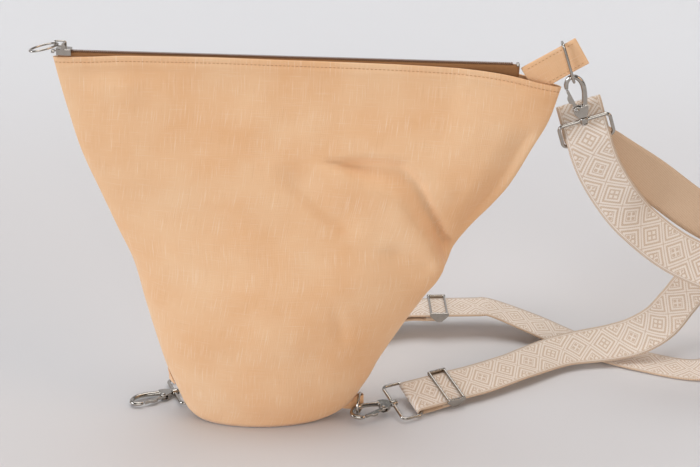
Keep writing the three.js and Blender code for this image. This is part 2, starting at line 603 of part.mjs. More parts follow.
// Sliding adjusters, each with the sewn tail of the webbing round its middle bar
const tailRadius = GLIDE_BAR + CLEAR + TAIL_LAYER;
const middleBar = -(STRAP_THICK / 2 + CLEAR + tailRadius);
const outerBar = STRAP_THICK / 2 + 2 * CLEAR + GLIDE_BAR;
function glide() {
  const half = STRAP_WIDTH / 2 + CLEAR;
  const plate = (side) => block(
    [-GLIDE_HALF - 1.6, GLIDE_HALF + 1.6],
    [side * half, side * (half + GLIDE_CHEEK)].sort((a, b) => a - b),
    [middleBar - GLIDE_BAR - 0.4, outerBar + GLIDE_BAR + 0.4],
  );
  const bar = (x, z) => rod(vec([x, -half - 0.5, z]), vec([x, half + 0.5, z]), GLIDE_BAR);
  return joined([
    plate(-1), plate(1), bar(-GLIDE_HALF, outerBar), bar(0, middleBar), bar(GLIDE_HALF, outerBar),
  ]);
}
function tailLoop() {
  const half = STRAP_WIDTH / 2 - CLEAR;
  const turned = [-90, -60, -30, 0, 30, 60, 90].map((deg) => {
    const turn = THREE.MathUtils.degToRad(deg);
    return [tailRadius * Math.cos(turn), middleBar + tailRadius * Math.sin(turn)];
  });
  const leg = TAIL_LAYER;
  const outline = [[-TAIL_LENGTH, middleBar - leg], [-4, middleBar - leg], ...turned,
    [-4, middleBar + leg], [-TAIL_LENGTH, middleBar + leg]];
  const body = prism(outline, -half, half).rotateX(Math.PI / 2);
  const hole = rod(vec([0, -half - 1, middleBar]), vec([0, half + 1, middleBar]), GLIDE_BAR + CLEAR);
  return joined([body], [hole]);
}
const wrap = RING_WIRE + CLEAR + STRAP_THICK / 2;
const lowBar = { a: hooks.a.at(-RING_SPAN, 0, 0), b: hooks.b.at(-RING_SPAN, 0, 0), top: hooks.top.at(-RING_SPAN, 0, 0) };
const upA = hooks.a.z.clone().multiplyScalar(Math.sign(hooks.a.z.z));
const upB = hooks.b.z.clone().multiplyScalar(Math.sign(hooks.b.z.z));
const onA = (k, h) => lowBar.a.clone().addScaledVector(hooks.a.x, -k).addScaledVector(upA, h);
const onB = (k, h) => lowBar.b.clone().addScaledVector(hooks.b.x, -k).addScaledVector(upB, h);
const glides = {
  a: frame(onA(A_GLIDE_AT, wrap).toArray(), hooks.a.x.clone().negate().toArray(), hooks.a.y.toArray()),
  b: frame(B_GLIDE, B_GLIDE_WAY, [-B_GLIDE_WAY[1], B_GLIDE_WAY[0], 0]),
};
for (const [name, where] of Object.entries(glides)) {
  add(`glide_${name}`, placed(glide(), where), NICKEL);
  add(`tail_loop_${name}`, placed(tailLoop(), where), WEBBING);
}

// One long webbing: lower ring A, over the upper ring, to lower ring B, doubled back at both ends.
// Each key is a place and the way across the webbing, given or as a roll from upright.
const keys = [];
const key = (place, across, roll) => keys.push({ place, across, roll });
const arc = (bar, ahead, up, across, flip) => {
  for (const deg of [0, 30, 60, 90, 120, 150, 180]) {
    const turn = THREE.MathUtils.degToRad(deg);
    const h = -flip * wrap * Math.cos(turn);
    key(bar.clone().addScaledVector(up, h).addScaledVector(ahead, wrap * Math.sin(turn)), across);
  }
};
const acrossA = hooks.a.y;
const acrossB = hooks.b.y.clone().negate();
const acrossTop = hooks.top.y.clone().negate();
for (const k of [A_GLIDE_AT - TAIL_LENGTH - CLEAR, 10, 3]) key(onA(k, -wrap), acrossA);
arc(lowBar.a, hooks.a.x, upA, acrossA, 1);
for (const k of [3, 10, 24, 48, 72]) key(onA(k, wrap), acrossA);
SIDE_A_ROUTE.forEach((place, i) => key(vec(place), null, SIDE_A_ROLL[i]));
const onTop = (s, m) => hooks.top.at(s, 0, 0).addScaledVector(hooks.top.z, m);
for (const [s, m, right] of TOP_APPROACH) key(onTop(s, m).add(vec([right, 0, 0])), acrossTop);
for (const [s, m] of TOP_FOLD) key(onTop(s, m), acrossTop);
SIDE_B_ROUTE.forEach((place, i) => key(vec(place), null, SIDE_B_ROLL[i]));
const flatB = glides.b.y.clone().negate();
const alongB = (x, drop = 0) => glides.b.at(x, 0, -drop);
const behind = BEHIND_BAG.map((place, i) => [
  vec(place), i === 0 ? flatB.clone().lerp(acrossB, 0.4) : acrossB, BEHIND_GAP[i],
]);
const mainB = [
  ...B_STRAIGHT.slice(0, 3).map((x) => [alongB(x), flatB, 0]),
  [alongB(-TAIL_LENGTH - 2 * CLEAR), flatB, -middleBar], [alongB(B_STRAIGHT[3], 0.4), flatB, -middleBar],
  ...behind, [onB(54, wrap), acrossB, 4.4],
  ...[24, 10, 3].map((k) => [onB(k, wrap), acrossB, 2 * wrap]),
];
mainB.forEach(([place, across]) => key(place, across));
arc(lowBar.b, hooks.b.x, upB, acrossB, -1);
mainB.slice(3).reverse().forEach(([place, across, below]) => key(place.clone().setZ(place.z - below), across));

const curve = new THREE.CatmullRomCurve3(keys.map((k) => k.place), false, 'centripetal');
keys.forEach((k, i) => {
  if (k.across) return;
  const way = curve.getTangent(i / (keys.length - 1));
  const upright = vec([0, 0, 1]).addScaledVector(way, -way.z).normalize();
  const turn = THREE.MathUtils.degToRad(k.roll);
  k.across = upright.clone().multiplyScalar(Math.cos(turn))
    .addScaledVector(way.clone().cross(upright), Math.sin(turn));
});
const bands = [];
for (let i = 0; i < keys.length - 1; i += 1) {
  const steps = Math.max(1, Math.ceil(keys[i].place.distanceTo(keys[i + 1].place) / 9));
  for (let s = 0; s < steps + (i === keys.length - 2 ? 1 : 0); s += 1) {
    const t = (i + s / steps) / (keys.length - 1);
    const place = curve.getPoint(t);
    const way = curve.getTangent(t);
    const across = keys[i].across.clone().lerp(keys[i + 1].across, s / steps);
    across.addScaledVector(way, -across.dot(way)).setLength(STRAP_WIDTH / 2);
    const out = way.clone().cross(across).setLength(STRAP_THICK / 2);
    bands.push([[-1, -1], [1, -1], [1, 1], [-1, 1]].map(([a, b]) => (
      place.clone().addScaledVector(across, a).addScaledVector(out, b)
    )));
  }
}
add('strap_webbing', loft(bands, false), WEBBING);

export default part;
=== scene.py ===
import json
from functools import partial
from math import acos, atan2, ceil, copysign, cos, exp, hypot, pi, radians, sin, sqrt, tan

import bmesh
import bpy
from mathutils import Matrix, Vector, noise


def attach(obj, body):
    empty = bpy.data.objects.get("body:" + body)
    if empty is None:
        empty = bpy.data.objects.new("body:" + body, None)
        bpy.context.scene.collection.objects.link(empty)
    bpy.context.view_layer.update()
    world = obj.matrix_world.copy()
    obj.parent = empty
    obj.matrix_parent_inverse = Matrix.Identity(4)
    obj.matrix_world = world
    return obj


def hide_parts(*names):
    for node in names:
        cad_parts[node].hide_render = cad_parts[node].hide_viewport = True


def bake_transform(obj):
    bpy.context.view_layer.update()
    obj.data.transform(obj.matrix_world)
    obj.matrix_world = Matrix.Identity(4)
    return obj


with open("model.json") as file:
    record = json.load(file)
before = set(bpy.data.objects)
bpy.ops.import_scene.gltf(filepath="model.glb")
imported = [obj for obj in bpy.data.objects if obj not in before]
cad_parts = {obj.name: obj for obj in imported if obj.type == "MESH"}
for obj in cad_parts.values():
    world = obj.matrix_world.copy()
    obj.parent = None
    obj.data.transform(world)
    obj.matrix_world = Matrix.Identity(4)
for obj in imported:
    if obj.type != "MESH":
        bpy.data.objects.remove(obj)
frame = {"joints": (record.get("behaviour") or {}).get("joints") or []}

scene = bpy.context.scene
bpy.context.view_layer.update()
mm = 0.001
jointOf = {joint["name"]: joint for joint in frame["joints"]}
print("frame loaded")

photoView = {"target": (81.5, 0, 182.9), "distance": 1200, "tilt": 25, "lens": 70.97, "sensor": 36}  # mm, degrees


def setCamera():
    tilt = radians(photoView["tilt"])
    camera = bpy.data.objects.new("camera", bpy.data.cameras.new("camera"))
    camera.data.lens = photoView["lens"]
    camera.data.sensor_width = photoView["sensor"]
    back = Vector((0, -cos(tilt), sin(tilt))) * photoView["distance"]
    camera.location = (Vector(photoView["target"]) + back) * mm
    camera.rotation_euler = (pi / 2 - tilt, 0, 0)
    scene.collection.objects.link(camera)
    scene.camera = camera


setCamera()
print("camera set")


def fromHex(code):  # sRGB hex to linear
    parts = [int(code[i:i + 2], 16) / 255 for i in (1, 3, 5)]
    return tuple(c / 12.92 if c <= 0.04045 else ((c + 0.055) / 1.055) ** 2.4 for c in parts) + (1.0,)


def addNode(tree, kind, inputs=(), out=0, **settings):  # a node with its settings and links, as one output
    node = tree.nodes.new("ShaderNode" + kind)
    for name, value in settings.items():
        setattr(node, name, value)
    for socket, value in dict(inputs).items():
        if isinstance(value, bpy.types.NodeSocket):
            tree.links.new(value, node.inputs[socket])
        else:
            node.inputs[socket].default_value = fromHex(value) if isinstance(value, str) else value
    return node.outputs[out]


def startMaterial(name, finish):
    material = bpy.data.materials.new(name)
    material.use_nodes = True
    shader = material.node_tree.nodes["Principled BSDF"]
    for socket, value in finish.items():
        shader.inputs[socket].default_value = value
    return material, partial(addNode, material.node_tree)


def finishMaterial(material, outputs):
    tree = material.node_tree
    for socket, output in outputs.items():
        tree.links.new(output, tree.nodes["Principled BSDF"].inputs[socket])
    return material


def ease(t):
    t = min(1.0, max(0.0, t))
    return t * t * (3 - 2 * t)


def evenSteps(first, last, steps):
    return [first + (last - first) * k / steps for k in range(steps + 1)]


def runsAlong(points):  # length of a line from its start to each of its points
    runs = [0.0]
    for a, b in zip(points, points[1:]):
        runs.append(runs[-1] + (b - a).length)
    return runs


def readTable(table, key):  # smooth value from a table of (key, value)
    last = len(table) - 1
    i = 0
    while i < last - 1 and table[i + 1][0] <= key:
        i += 1

    def slope(k):
        a, b = table[max(0, k - 1)], table[min(last, k + 1)]
        return (b[1] - a[1]) / (b[0] - a[0])

    run = table[i + 1][0] - table[i][0]
    t = min(1.0, max(0.0, (key - table[i][0]) / run))
    bend = t * (1 - t) * ((1 - t) * slope(i) - t * slope(i + 1)) * run
    return table[i][1] + (table[i + 1][1] - table[i][1]) * t * t * (3 - 2 * t) + bend


def placing(origin, way, across):  # local mm to metres in the scene: x along way, y as near across as it can be
    x = Vector(way).normalized()
    y = Vector(across)
    y = (y - x * y.dot(x)).normalized()
    turn = Matrix((x, y, x.cross(y))).transposed().to_4x4()
    return Matrix.Translation(Vector(origin)) @ turn @ Matrix.Scale(mm, 4)


def moved(place, spot=(0, 0, 0), turn=0, axis="Z"):
    return place @ Matrix.Translation(spot) @ Matrix.Rotation(turn, 4, axis)


def axisOf(place, k):
    return place.col[k].xyz.normalized()


def vertsOf(geometry):
    return [part for part in geometry if isinstance(part, bmesh.types.BMVert)]


def addShape(bm, shape, place):  # closes, turns outward, places and adds one shape
    bmesh.ops.remove_doubles(shape, verts=shape.verts[:], dist=1e-5)
    bmesh.ops.recalc_face_normals(shape, faces=shape.faces[:])
    bmesh.ops.transform(shape, matrix=place, verts=shape.verts[:])
    mesh = bpy.data.meshes.new("shape")
    shape.to_mesh(mesh)
    shape.free()
    bm.from_mesh(mesh)
    bpy.data.meshes.remove(mesh)


def bendWire(bm, path, radius, place, closed=True):  # round wire along points in mm, one radius or one for each
    curve = bpy.data.curves.new("wire", "CURVE")
    curve.dimensions = "3D"
    curve.bevel_depth = 1
    curve.bevel_resolution = 4
    curve.use_fill_caps = not closed
    spline = curve.splines.new("POLY")
    spline.points.add(len(path) - 1)
    spline.use_cyclic_u = closed
    for i, (x, y) in enumerate(path):
        spline.points[i].co = (x, y, 0, 1)
        spline.points[i].radius = radius[i] if isinstance(radius, list) else radius
    holder = bpy.data.objects.new("wire", curve)
    mesh = bpy.data.meshes.new_from_object(holder)
    shape = bmesh.new()
    shape.from_mesh(mesh)
    addShape(bm, shape, place)
    bpy.data.meshes.remove(mesh)
    bpy.data.objects.remove(holder)
    bpy.data.curves.remove(curve)


def roundCorners(corners, steps=6):  # flat loop of (x, y, radius)
    path = []
    for i, (x, y, radius) in enumerate(corners):
        here = Vector((x, y))
        back = (Vector(corners[i - 1][:2]) - here).normalized()
        on = (Vector(corners[(i + 1) % len(corners)][:2]) - here).normalized()
        half = acos(max(-1, min(1, back.dot(on)))) / 2
        middle = here + (back + on).normalized() * (radius / sin(half))
        first = here + back * (radius / tan(half)) - middle
        last = here + on * (radius / tan(half)) - middle
        start = atan2(first.y, first.x)
        sweep = (atan2(last.y, last.x) - start + pi) % (2 * pi) - pi
        for turn in evenSteps(start, start + sweep, steps):
            path.append((middle.x + radius * cos(turn), middle.y + radius * sin(turn)))
    return path


def turnProfile(bm, profile, place, loop=False, steps=28):  # lathe: (x, radius) spun about local x
    shape = bmesh.new()
    verts = [shape.verts.new((x, r, 0)) for x, r in profile]
    edges = [shape.edges.new(pair) for pair in zip(verts, verts[1:] + verts[:1] if loop else verts[1:])]
    bmesh.ops.spin(shape, geom=verts + edges, cent=(0, 0, 0), axis=(1, 0, 0), angle=2 * pi,
                   steps=steps, use_merge=True)
    addShape(bm, shape, place)


def cutPlate(bm, outline, low, high, place, edge):  # flat plate with its edges eased
    shape = bmesh.new()
    face = shape.faces.new([shape.verts.new((x, y, low)) for x, y in outline])
    grown = bmesh.ops.extrude_face_region(shape, geom=[face])["geom"]
    bmesh.ops.translate(shape, vec=(0, 0, high - low), verts=vertsOf(grown))
    bmesh.ops.bevel(shape, geom=shape.edges[:], offset=edge, offset_type="OFFSET", segments=2, profile=0.5,
                    affect="EDGES", clamp_overlap=True, material=-1)
    addShape(bm, shape, place)


def makePiece(name, bm, materials, body, nodes=()):
    mesh = bpy.data.meshes.new(name)
    bm.to_mesh(mesh)
    bm.free()
    mesh.polygons.foreach_set("use_smooth", [True] * len(mesh.polygons))
    for material in materials if isinstance(materials, (list, tuple)) else [materials]:
        mesh.materials.append(material)
    piece = bpy.data.objects.new(name, mesh)
    scene.collection.objects.link(piece)
    if body:
        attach(piece, body)
    if nodes:
        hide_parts(*nodes)
    return piece


def modify(piece, name, kind, **settings):
    modifier = piece.modifiers.new(name, kind)
    for key, value in settings.items():
        setattr(modifier, key, value)


def makeMetal(name, bm, body, node, grain=0, rounds=0):  # a grain melts overlapping shapes into one soft casting
    piece = makePiece(name, bm, nickel, body, [node])
    if grain:
        modify(piece, "melt", "REMESH", mode="VOXEL", voxel_size=grain * mm, use_smooth_shade=True)
        modify(piece, "soften", "SMOOTH", factor=0.5, iterations=rounds)


def addThickness(piece, thick, offset=0.0, group="", back=0, rim=0):
    modify(piece, "thickness", "SOLIDIFY", thickness=thick * mm, offset=offset, material_offset=back,
           material_offset_rim=rim, vertex_group=group)


def mapGrid(bm, columns, rows, spotAt):  # a grid laid by spotAt(column, row) -> (place, (u, v)), UVs in metres
    uv = bm.loops.layers.uv.new("cloth")
    made = bmesh.ops.create_grid(bm, x_segments=columns, y_segments=rows, size=1)
    flat = {}
    for vert in made["verts"]:
        column = round((vert.co.x + 1) / 2 * columns)
        row = round((vert.co.y + 1) / 2 * rows)
        vert.co, flat[vert] = spotAt(column, row)
    for face in bm.faces:
        for loop in face.loops:
            loop[uv].uv = flat[loop.vert]


def layCloth(name, materials, node, slot, grid, spotAt, thick, body="bag", turnOut=True, **faces):
    bm = bmesh.new()  # a sheet on a grid of columns and rows, with its thickness
    mapGrid(bm, *grid, spotAt)
    if turnOut:
        bmesh.ops.recalc_face_normals(bm, faces=bm.faces[:])
    piece = makePiece(name, bm, materials, body, [node])
    addThickness(piece, thick, **faces)
    return piece


def sewLine(bm, line, outs, stitch):  # thread stitches at even steps along a line of points
    runs = runsAlong(line)
    count = int(runs[-1] / (stitch["pitch"] * mm))
    size = Matrix.Diagonal((stitch["long"] / 2, stitch["thick"] / 2, stitch["thick"] / 2, 1))
    i = 0
    for n in range(count):
        at = (n + 0.5) * runs[-1] / count
        while i < len(runs) - 2 and runs[i + 1] < at:
            i += 1
        t = (at - runs[i]) / max(1e-9, runs[i + 1] - runs[i])
        out = outs[i].lerp(outs[i + 1], t)
        way = line[i + 1] - line[i]
        place = placing(line[i].lerp(line[i + 1], t) + out * stitch["sink"] * mm, way, out)
        bmesh.ops.create_uvsphere(bm, u_segments=8, v_segments=6, radius=1,
                                  matrix=moved(place @ size, turn=pi / 2, axis="Y"))


def waveScale(pitch):  # a wave texture repeats every pi / 10 at scale 1
    return 2 * pi / (20 * pitch * mm)


clothFinish = {"Roughness": 0.93, "Specular IOR Level": 0.25, "Sheen Weight": 0.2, "Sheen Roughness": 0.45}
canvasLook = {
    "pale": "#ecc49b", "deep": "#e6b587", "slub": "#f7e2c8", "fleck": "#c48f62",
    "blotch": 62, "slubLong": 24, "slubThick": 0.9, "thread": 1.5,  # mm
    "dye": (0.32, 0.68), "streaks": ((1, 0.5), (0, 0.22)),  # long way and strength in the warp, then in the weft
    "marks": (("slub", 0.58, 0.78, 1), ("fleck", 0.38, 0.2, 0.5)),  # colour, where it starts and is full, share
    "threadHigh": 0.22,
}


def weaveCanvas():  # plain-woven cotton: matt, faintly fuzzy, slubs along both threads, soft blotches in the dye
    material, add = startMaterial("cotton canvas", clothFinish)
    look = canvasLook
    cloth = add("UVMap", uv_map="cloth")
    blotch = add("TexNoise", {"Vector": cloth, "Scale": 1000 / look["blotch"], "Detail": 3.0})
    tone = add("MapRange", {"Value": blotch, "From Min": look["dye"][0], "From Max": look["dye"][1]})
    colour = add("Mix", {0: tone, 6: look["deep"], 7: look["pale"]}, 2, data_type="RGBA")
    streaks = []
    for long, strength in look["streaks"]:
        size = [1000 / look["slubThick"], 1000 / look["slubThick"], 1]
        size[long] = 1000 / look["slubLong"]
        laid = add("Mapping", {"Vector": cloth, "Scale": size})
        streaks.append(add("TexNoise", {"Vector": laid, "Scale": 1.0, "Detail": 2.0}))
        for name, start, full, share in look["marks"]:
            mask = add("MapRange", {"Value": streaks[-1], "From Min": start, "From Max": full,
                                    "To Max": strength * share})
            colour = add("Mix", {0: mask, 6: colour, 7: look[name]}, 2, data_type="RGBA")
    height = add("Math", {0: streaks[0], 1: streaks[1]}, operation="ADD")
    for direction in ("X", "Y"):  # real threads are 0.6 mm apart, drawn wider so that they show
        rib = add("TexWave", {"Vector": cloth, "Scale": waveScale(look["thread"]), "Distortion": 1.2, "Detail": 1.0},
                  1, wave_type="BANDS", bands_direction=direction)
        height = add("Math", {0: rib, 1: look["threadHigh"], 2: height}, operation="MULTIPLY_ADD")
    bump = add("Bump", {"Height": height, "Strength": 0.35, "Distance": 0.0004})
    return finishMaterial(material, {"Base Color": colour, "Normal": bump})


webbingLook = {
    # in the ground and back pairs the deeper tone is painted shade in the grooves between the ribs
    "cream": ("#e2d5c8", "#eee3d8"), "ground": ("#c6ad96", "#dac6b1"), "back": ("#dcc1a5", "#c5a587"),
    "halfWide": 15, "halfLong": 14, "rib": 1.3, "wear": 260, "line": (16.55, 17.35), "edge": 16.1,  # mm, wear per m
    "outer": (0.8, 0.962), "inner": (0.47, 0.64), "cross": 0.07, "petals": 0.34, "field": 0.4,  # shares of a diamond
}


def weaveJacquard():  # two-colour jacquard: raised cream floats on a taupe ground in a diamond lattice, ribbed across
    material, add = startMaterial("jacquard webbing", clothFinish)
    look = webbingLook
    cloth = add("UVMap", uv_map="cloth")
    split = add("SeparateXYZ", {0: cloth}).node
    drawn = {"across": split.outputs[0], "along": split.outputs[1]}
    half = look["halfLong"] * mm
    steps = [("wide", "MULTIPLY", "across", 1000 / look["halfWide"]),
             ("runs", "MULTIPLY", "along", 1000 / look["halfLong"]),
             ("rising", "ADD", "wide", "runs"), ("rising", "PINGPONG", "rising", 1.0),
             ("falling", "SUBTRACT", "wide", "runs"), ("falling", "PINGPONG", "falling", 1.0),
             ("lattice", "MAXIMUM", "rising", "falling"), ("lower", "MINIMUM", "rising", "falling"),
             ("sides", "ABSOLUTE", "across", 0.0)]
    for name, value, unit in (("outer", "lattice", 1), ("inner", "lattice", 1), ("line", "sides", mm)):
        low, high = look[name]
        steps += [("over", "GREATER_THAN", value, low * unit), ("under", "LESS_THAN", value, high * unit),
                  (name, "MULTIPLY", "over", "under")]
    # every other diamond has four petals, the rest the same four left out of a field
    steps += [("turnOver", "PINGPONG", "along", 2 * half), ("bright", "LESS_THAN", "turnOver", half),
              ("apart", "GREATER_THAN", "lower", look["cross"]), ("within", "LESS_THAN", "lattice", look["petals"]),
              ("petals", "MULTIPLY", "apart", "within"), ("field", "LESS_THAN", "lattice", look["field"]),
              ("dim", "GREATER_THAN", "field", "bright"), ("motif", "SUBTRACT", "dim", "petals"),
              ("motif", "ABSOLUTE", "motif", 0.0), ("inside", "MAXIMUM", "outer", "motif"),
              ("inside", "MAXIMUM", "inside", "inner"), ("edge", "LESS_THAN", "sides", look["edge"] * mm),
              ("inside", "MULTIPLY", "inside", "edge"), ("raised", "MAXIMUM", "inside", "line")]
    for name, operation, first, second in steps:
        drawn[name] = add("Math", {0: drawn[first], 1: drawn.get(second, second)}, operation=operation)
    raised = drawn["raised"]

    rib = add("TexWave", {"Vector": cloth, "Scale": waveScale(look["rib"]), "Distortion": 0.6}, 1,
              wave_type="BANDS", bands_direction="Y")
    wear = add("TexNoise", {"Vector": cloth, "Scale": look["wear"], "Detail": 3.0})
    # the cream tone differs at random; the ground's deeper tone follows the rib wave, painted shade in the grooves
    # between its ribs
    cream, ground = (add("Mix", {0: share, 6: look[name][0], 7: look[name][1]}, 2, data_type="RGBA")
                     for name, share in (("cream", wear), ("ground", rib)))
    colour = add("Mix", {0: raised, 6: ground, 7: cream}, 2, data_type="RGBA")
    height = add("Math", {0: rib, 1: 0.35, 2: raised}, operation="MULTIPLY_ADD")
    bump = add("Bump", {"Height": height, "Strength": 0.6, "Distance": 0.0004})
    return finishMaterial(material, {"Base Color": colour, "Normal": bump})


tapeLooks = {  # pale on the rib tops, deep as painted shade in the grooves, rib in mm, way of the ribs
    "webbing back": (*webbingLook["back"], webbingLook["rib"], "Y"),
    "woven zip tape": ("#a5764c", "#7d5533", 0.8, "X"),
    "seam binding": ("#9a6d47", "#7c5434", 0.9, "Y"),
}


def weaveRibs(name):  # plain narrow weave: even ribs with a little fluff between them
    material, add = startMaterial(name, clothFinish)
    pale, deep, rib, direction = tapeLooks[name]
    cloth = add("UVMap", uv_map="cloth")
    ribs = add("TexWave", {"Vector": cloth, "Scale": waveScale(rib), "Distortion": 0.5}, 1,
               wave_type="BANDS", bands_direction=direction)
    fluff = add("TexNoise", {"Vector": cloth, "Scale": 420.0, "Detail": 3.0})
    height = add("Math", {0: fluff, 1: 0.5, 2: ribs}, operation="MULTIPLY_ADD")
    # the tone follows the height: painted shade, deeper in the grooves between the ribs, with a random tone from the
    # fluff
    tone = add("MapRange", {"Value": height, "From Min": 0.1, "From Max": 1.35})
    colour = add("Mix", {0: tone, 6: deep, 7: pale}, 2, data_type="RGBA")
    bump = add("Bump", {"Height": height, "Strength": 0.5, "Distance": 0.0003})
    return finishMaterial(material, {"Base Color": colour, "Normal": bump})


grainLooks = {  # grain per m and its detail, deep and pale tones
    "nickel plate": {"finish": {"Metallic": 1.0}, "grain": (240, 4), "tones": ("#a09a92", "#beb8b0"),
                     "bump": 0.12, "rough": (0.09, 0.2)},  # mirror-like, softened by fine handling marks
    "nylon coil": {"finish": {"Roughness": 0.42, "IOR": 1.53}, "grain": (90, 2),
                   "tones": ("#5c3c22", "#7a5232")},  # satin brown filament with a soft gloss
    "hem thread": {"finish": {"Roughness": 0.75, "Sheen Weight": 0.15}, "grain": (900, 2),
                   "tones": ("#b07f52", "#d2a073"), "bump": 0.4},  # twisted cotton, slightly lustrous
    "zip thread": {"finish": {"Roughness": 0.75, "Sheen Weight": 0.15}, "grain": (900, 2),
                   "tones": ("#6d4728", "#8a5d39"), "bump": 0.4},  # the same in brown
}


def grainSurface(name):  # metal, nylon and thread: one fine grain shifts the tone and what else the look names
    look = grainLooks[name]
    material, add = startMaterial(name, look["finish"])
    (scale, detail), (deep, pale) = look["grain"], look["tones"]
    grain = add("TexNoise", {"Vector": add("TexCoord", out=3), "Scale": scale, "Detail": detail})
    outputs = {"Base Color": add("Mix", {0: grain, 6: deep, 7: pale}, 2, data_type="RGBA")}
    if "rough" in look:
        low, high = look["rough"]
        outputs["Roughness"] = add("MapRange", {"Value": grain, "From Min": 0.3, "From Max": 0.7,
                                                "To Min": low, "To Max": high})
    if "bump" in look:
        outputs["Normal"] = add("Bump", {"Height": grain, "Strength": look["bump"], "Distance": 0.0002})
    return finishMaterial(material, outputs)


canvas, jacquard = weaveCanvas(), weaveJacquard()
ribbedBack, zipCloth, bindingCloth = (weaveRibs(name) for name in tapeLooks)
nickel, nylon, hemThread, zipThread = (grainSurface(name) for name in grainLooks)
print("materials made")

stageSet = {"floor": "#d5d3d3", "wall": "#dedfe1", "paler": (0.25, 1.2), "under": 0.0003,
            "wallAt": 3.4, "bend": 0.8, "half": 10.0, "front": -10.0, "height": 3.2}  # m


def buildStage():  # pale paper sweep
    half, wall, bend = stageSet["half"], stageSet["wallAt"], stageSet["bend"]
    profile = [(stageSet["front"], 0), (wall - bend, 0)]
    profile += [(wall - bend + bend * sin(a), bend - bend * cos(a)) for a in evenSteps(0, pi / 2, 16)[1:]]
    profile.append((wall, stageSet["height"]))
    bm = bmesh.new()
    verts = [bm.verts.new((-half, y, z - stageSet["under"])) for y, z in profile]
    edges = [bm.edges.new(pair) for pair in zip(verts, verts[1:])]
    grown = bmesh.ops.extrude_edge_only(bm, edges=edges)["geom"]
    bmesh.ops.translate(bm, vec=(2 * half, 0, 0), verts=vertsOf(grown))
    bm.normal_update()
    if any(face.normal.z < -0.5 for face in bm.faces):  # the paper faces up
        bmesh.ops.reverse_faces(bm, faces=bm.faces[:])
    material, add = startMaterial("paper sweep", {"Roughness": 0.85, "Specular IOR Level": 0.2})
    depth = add("SeparateXYZ", {0: add("TexCoord", out=3)}, 1)
    rise = add("MapRange", {"Value": depth, "From Min": stageSet["paler"][0], "From Max": stageSet["paler"][1]},
               interpolation_type="SMOOTHSTEP")
    tone = add("Mix", {0: rise, 6: stageSet["floor"], 7: stageSet["wall"]}, 2, data_type="RGBA")
    floor = makePiece("paper_sweep", bm, finishMaterial(material, {"Base Color": tone}), None)


lamps = {  # W per m2, degrees
    "key": {"from": (-1.92, -0.95, 0.5), "power": 1.71, "spread": 25, "tint": "#ecf3ff"},
    "front": {"from": (0.08, -2.5, 0.7), "power": 0.85, "spread": 35, "tint": "#ffffff"},
    "fill": {"from": (1.78, -0.8, 0.85), "power": 0.5, "spread": 25, "tint": "#ffd2a6"},
    "top": {"from": (0, 0.2, 2.25), "power": 1.48, "spread": 45, "tint": "#ffffff"},
}
skyLook = {"colour": "#f2f3f6", "room": "#6b6661", "strength": 0.36}  # the room behind the camera is darker


def lightStage():
    for name, lamp in lamps.items():
        data = bpy.data.lights.new(name, "SUN")
        data.angle = radians(lamp["spread"])
        data.energy = lamp["power"]
        data.color = fromHex(lamp["tint"])[:3]
        light = bpy.data.objects.new(name, data)
        light.location = lamp["from"]
        light.rotation_euler = (-light.location).to_track_quat("-Z", "Y").to_euler()
        scene.collection.objects.link(light)
    world = bpy.data.worlds.new("studio")
    world.use_nodes = True
    tree, sky = world.node_tree, world.node_tree.nodes["Background"]
    way = addNode(tree, "SeparateXYZ", {0: addNode(tree, "TexCoord")}, 1)
    depth = addNode(tree, "MapRange", {"Value": way, "From Min": -0.8, "From Max": 0.1})
    tone = addNode(tree, "Mix", {0: depth, 6: skyLook["room"], 7: skyLook["colour"]}, 2, data_type="RGBA")
    tree.links.new(tone, sky.inputs["Color"])
    sky.inputs["Strength"].default_value = skyLook["strength"]
    scene.world = world
    scene.view_settings.view_transform = "Standard"


buildStage()
lightStage()
print("stage lit")

bag = {  # two canvas panels from the oval base to the zip, mm
    "baseLong": 122, "baseDeep": 50, "floor": 2.35, "gap": 0.35, "wall": 1.2, "seamWall": 0.12, "seamFade": 2.2,
    "zipStart": (-160, 348), "zipEnd": (218, 336.5),
    "leftSeam": [(2.35, -61), (10, -69), (31, -77), (58, -86), (119, -100), (160, -108.5), (190, -120), (225, -133),
                 (262, -146), (300, -155), (322, -159.5), (342.6, -163)],
    "rightSeam": [(2.35, 61), (7.5, 74), (16, 84), (31, 93), (45, 101), (60, 108), (97, 130), (125, 148.5), (142, 160),
                  (157, 167), (173, 173), (190, 185.5), (211, 204.5), (226, 216.5), (240, 225), (260, 235.5),
                  (284, 248.5), (313, 257.5)],
    "fullness": [(0, 25), (0.04, 29), (0.1, 35), (0.2, 41), (0.32, 43), (0.5, 36), (0.7, 23), (0.85, 11.5),
                 (0.94, 5.4), (1, 3.4)],
    "cornerFullness": 2.4,
    "hem": [(-163, 4.6), (-131, 3.0), (-106, 1.4), (-82, 1.0), (-33, 0.5), (16, 0.9), (65, 1.2), (114, 1.8),
            (139, 2.4), (164, 3.3), (188, 4.6), (213, 8.0), (238, 14.0), (257.5, 18.3)],  # x, drop below the zip line
    "columns": 150, "rowStep": 3.1, "tall": 340, "stitchDrop": 4.5,
    "hemRows": [0, 0.5, 1.3, 2.3, 3.3, 4.0, 5.0, 5.8, 7, 8.6, 10.4, 12.6],  # drops below the top edge
    "hemRise": 0.55, "hemDeep": 10.5, "groove": 0.5, "grooveWide": 0.9, "pinch": 0.8, "pinchWide": 3.5,
    "slack": ((62, 55, 1.7), (24, 30, 0.6)),  # size across and up, height
    "stitch": {"pitch": 3.4, "long": 2.5, "thick": 0.62, "sink": 0.1},
}


def zipHeight(x):
    (x0, z0), (x1, z1) = bag["zipStart"], bag["zipEnd"]
    return z0 + (z1 - z0) * (x - x0) / (x1 - x0)


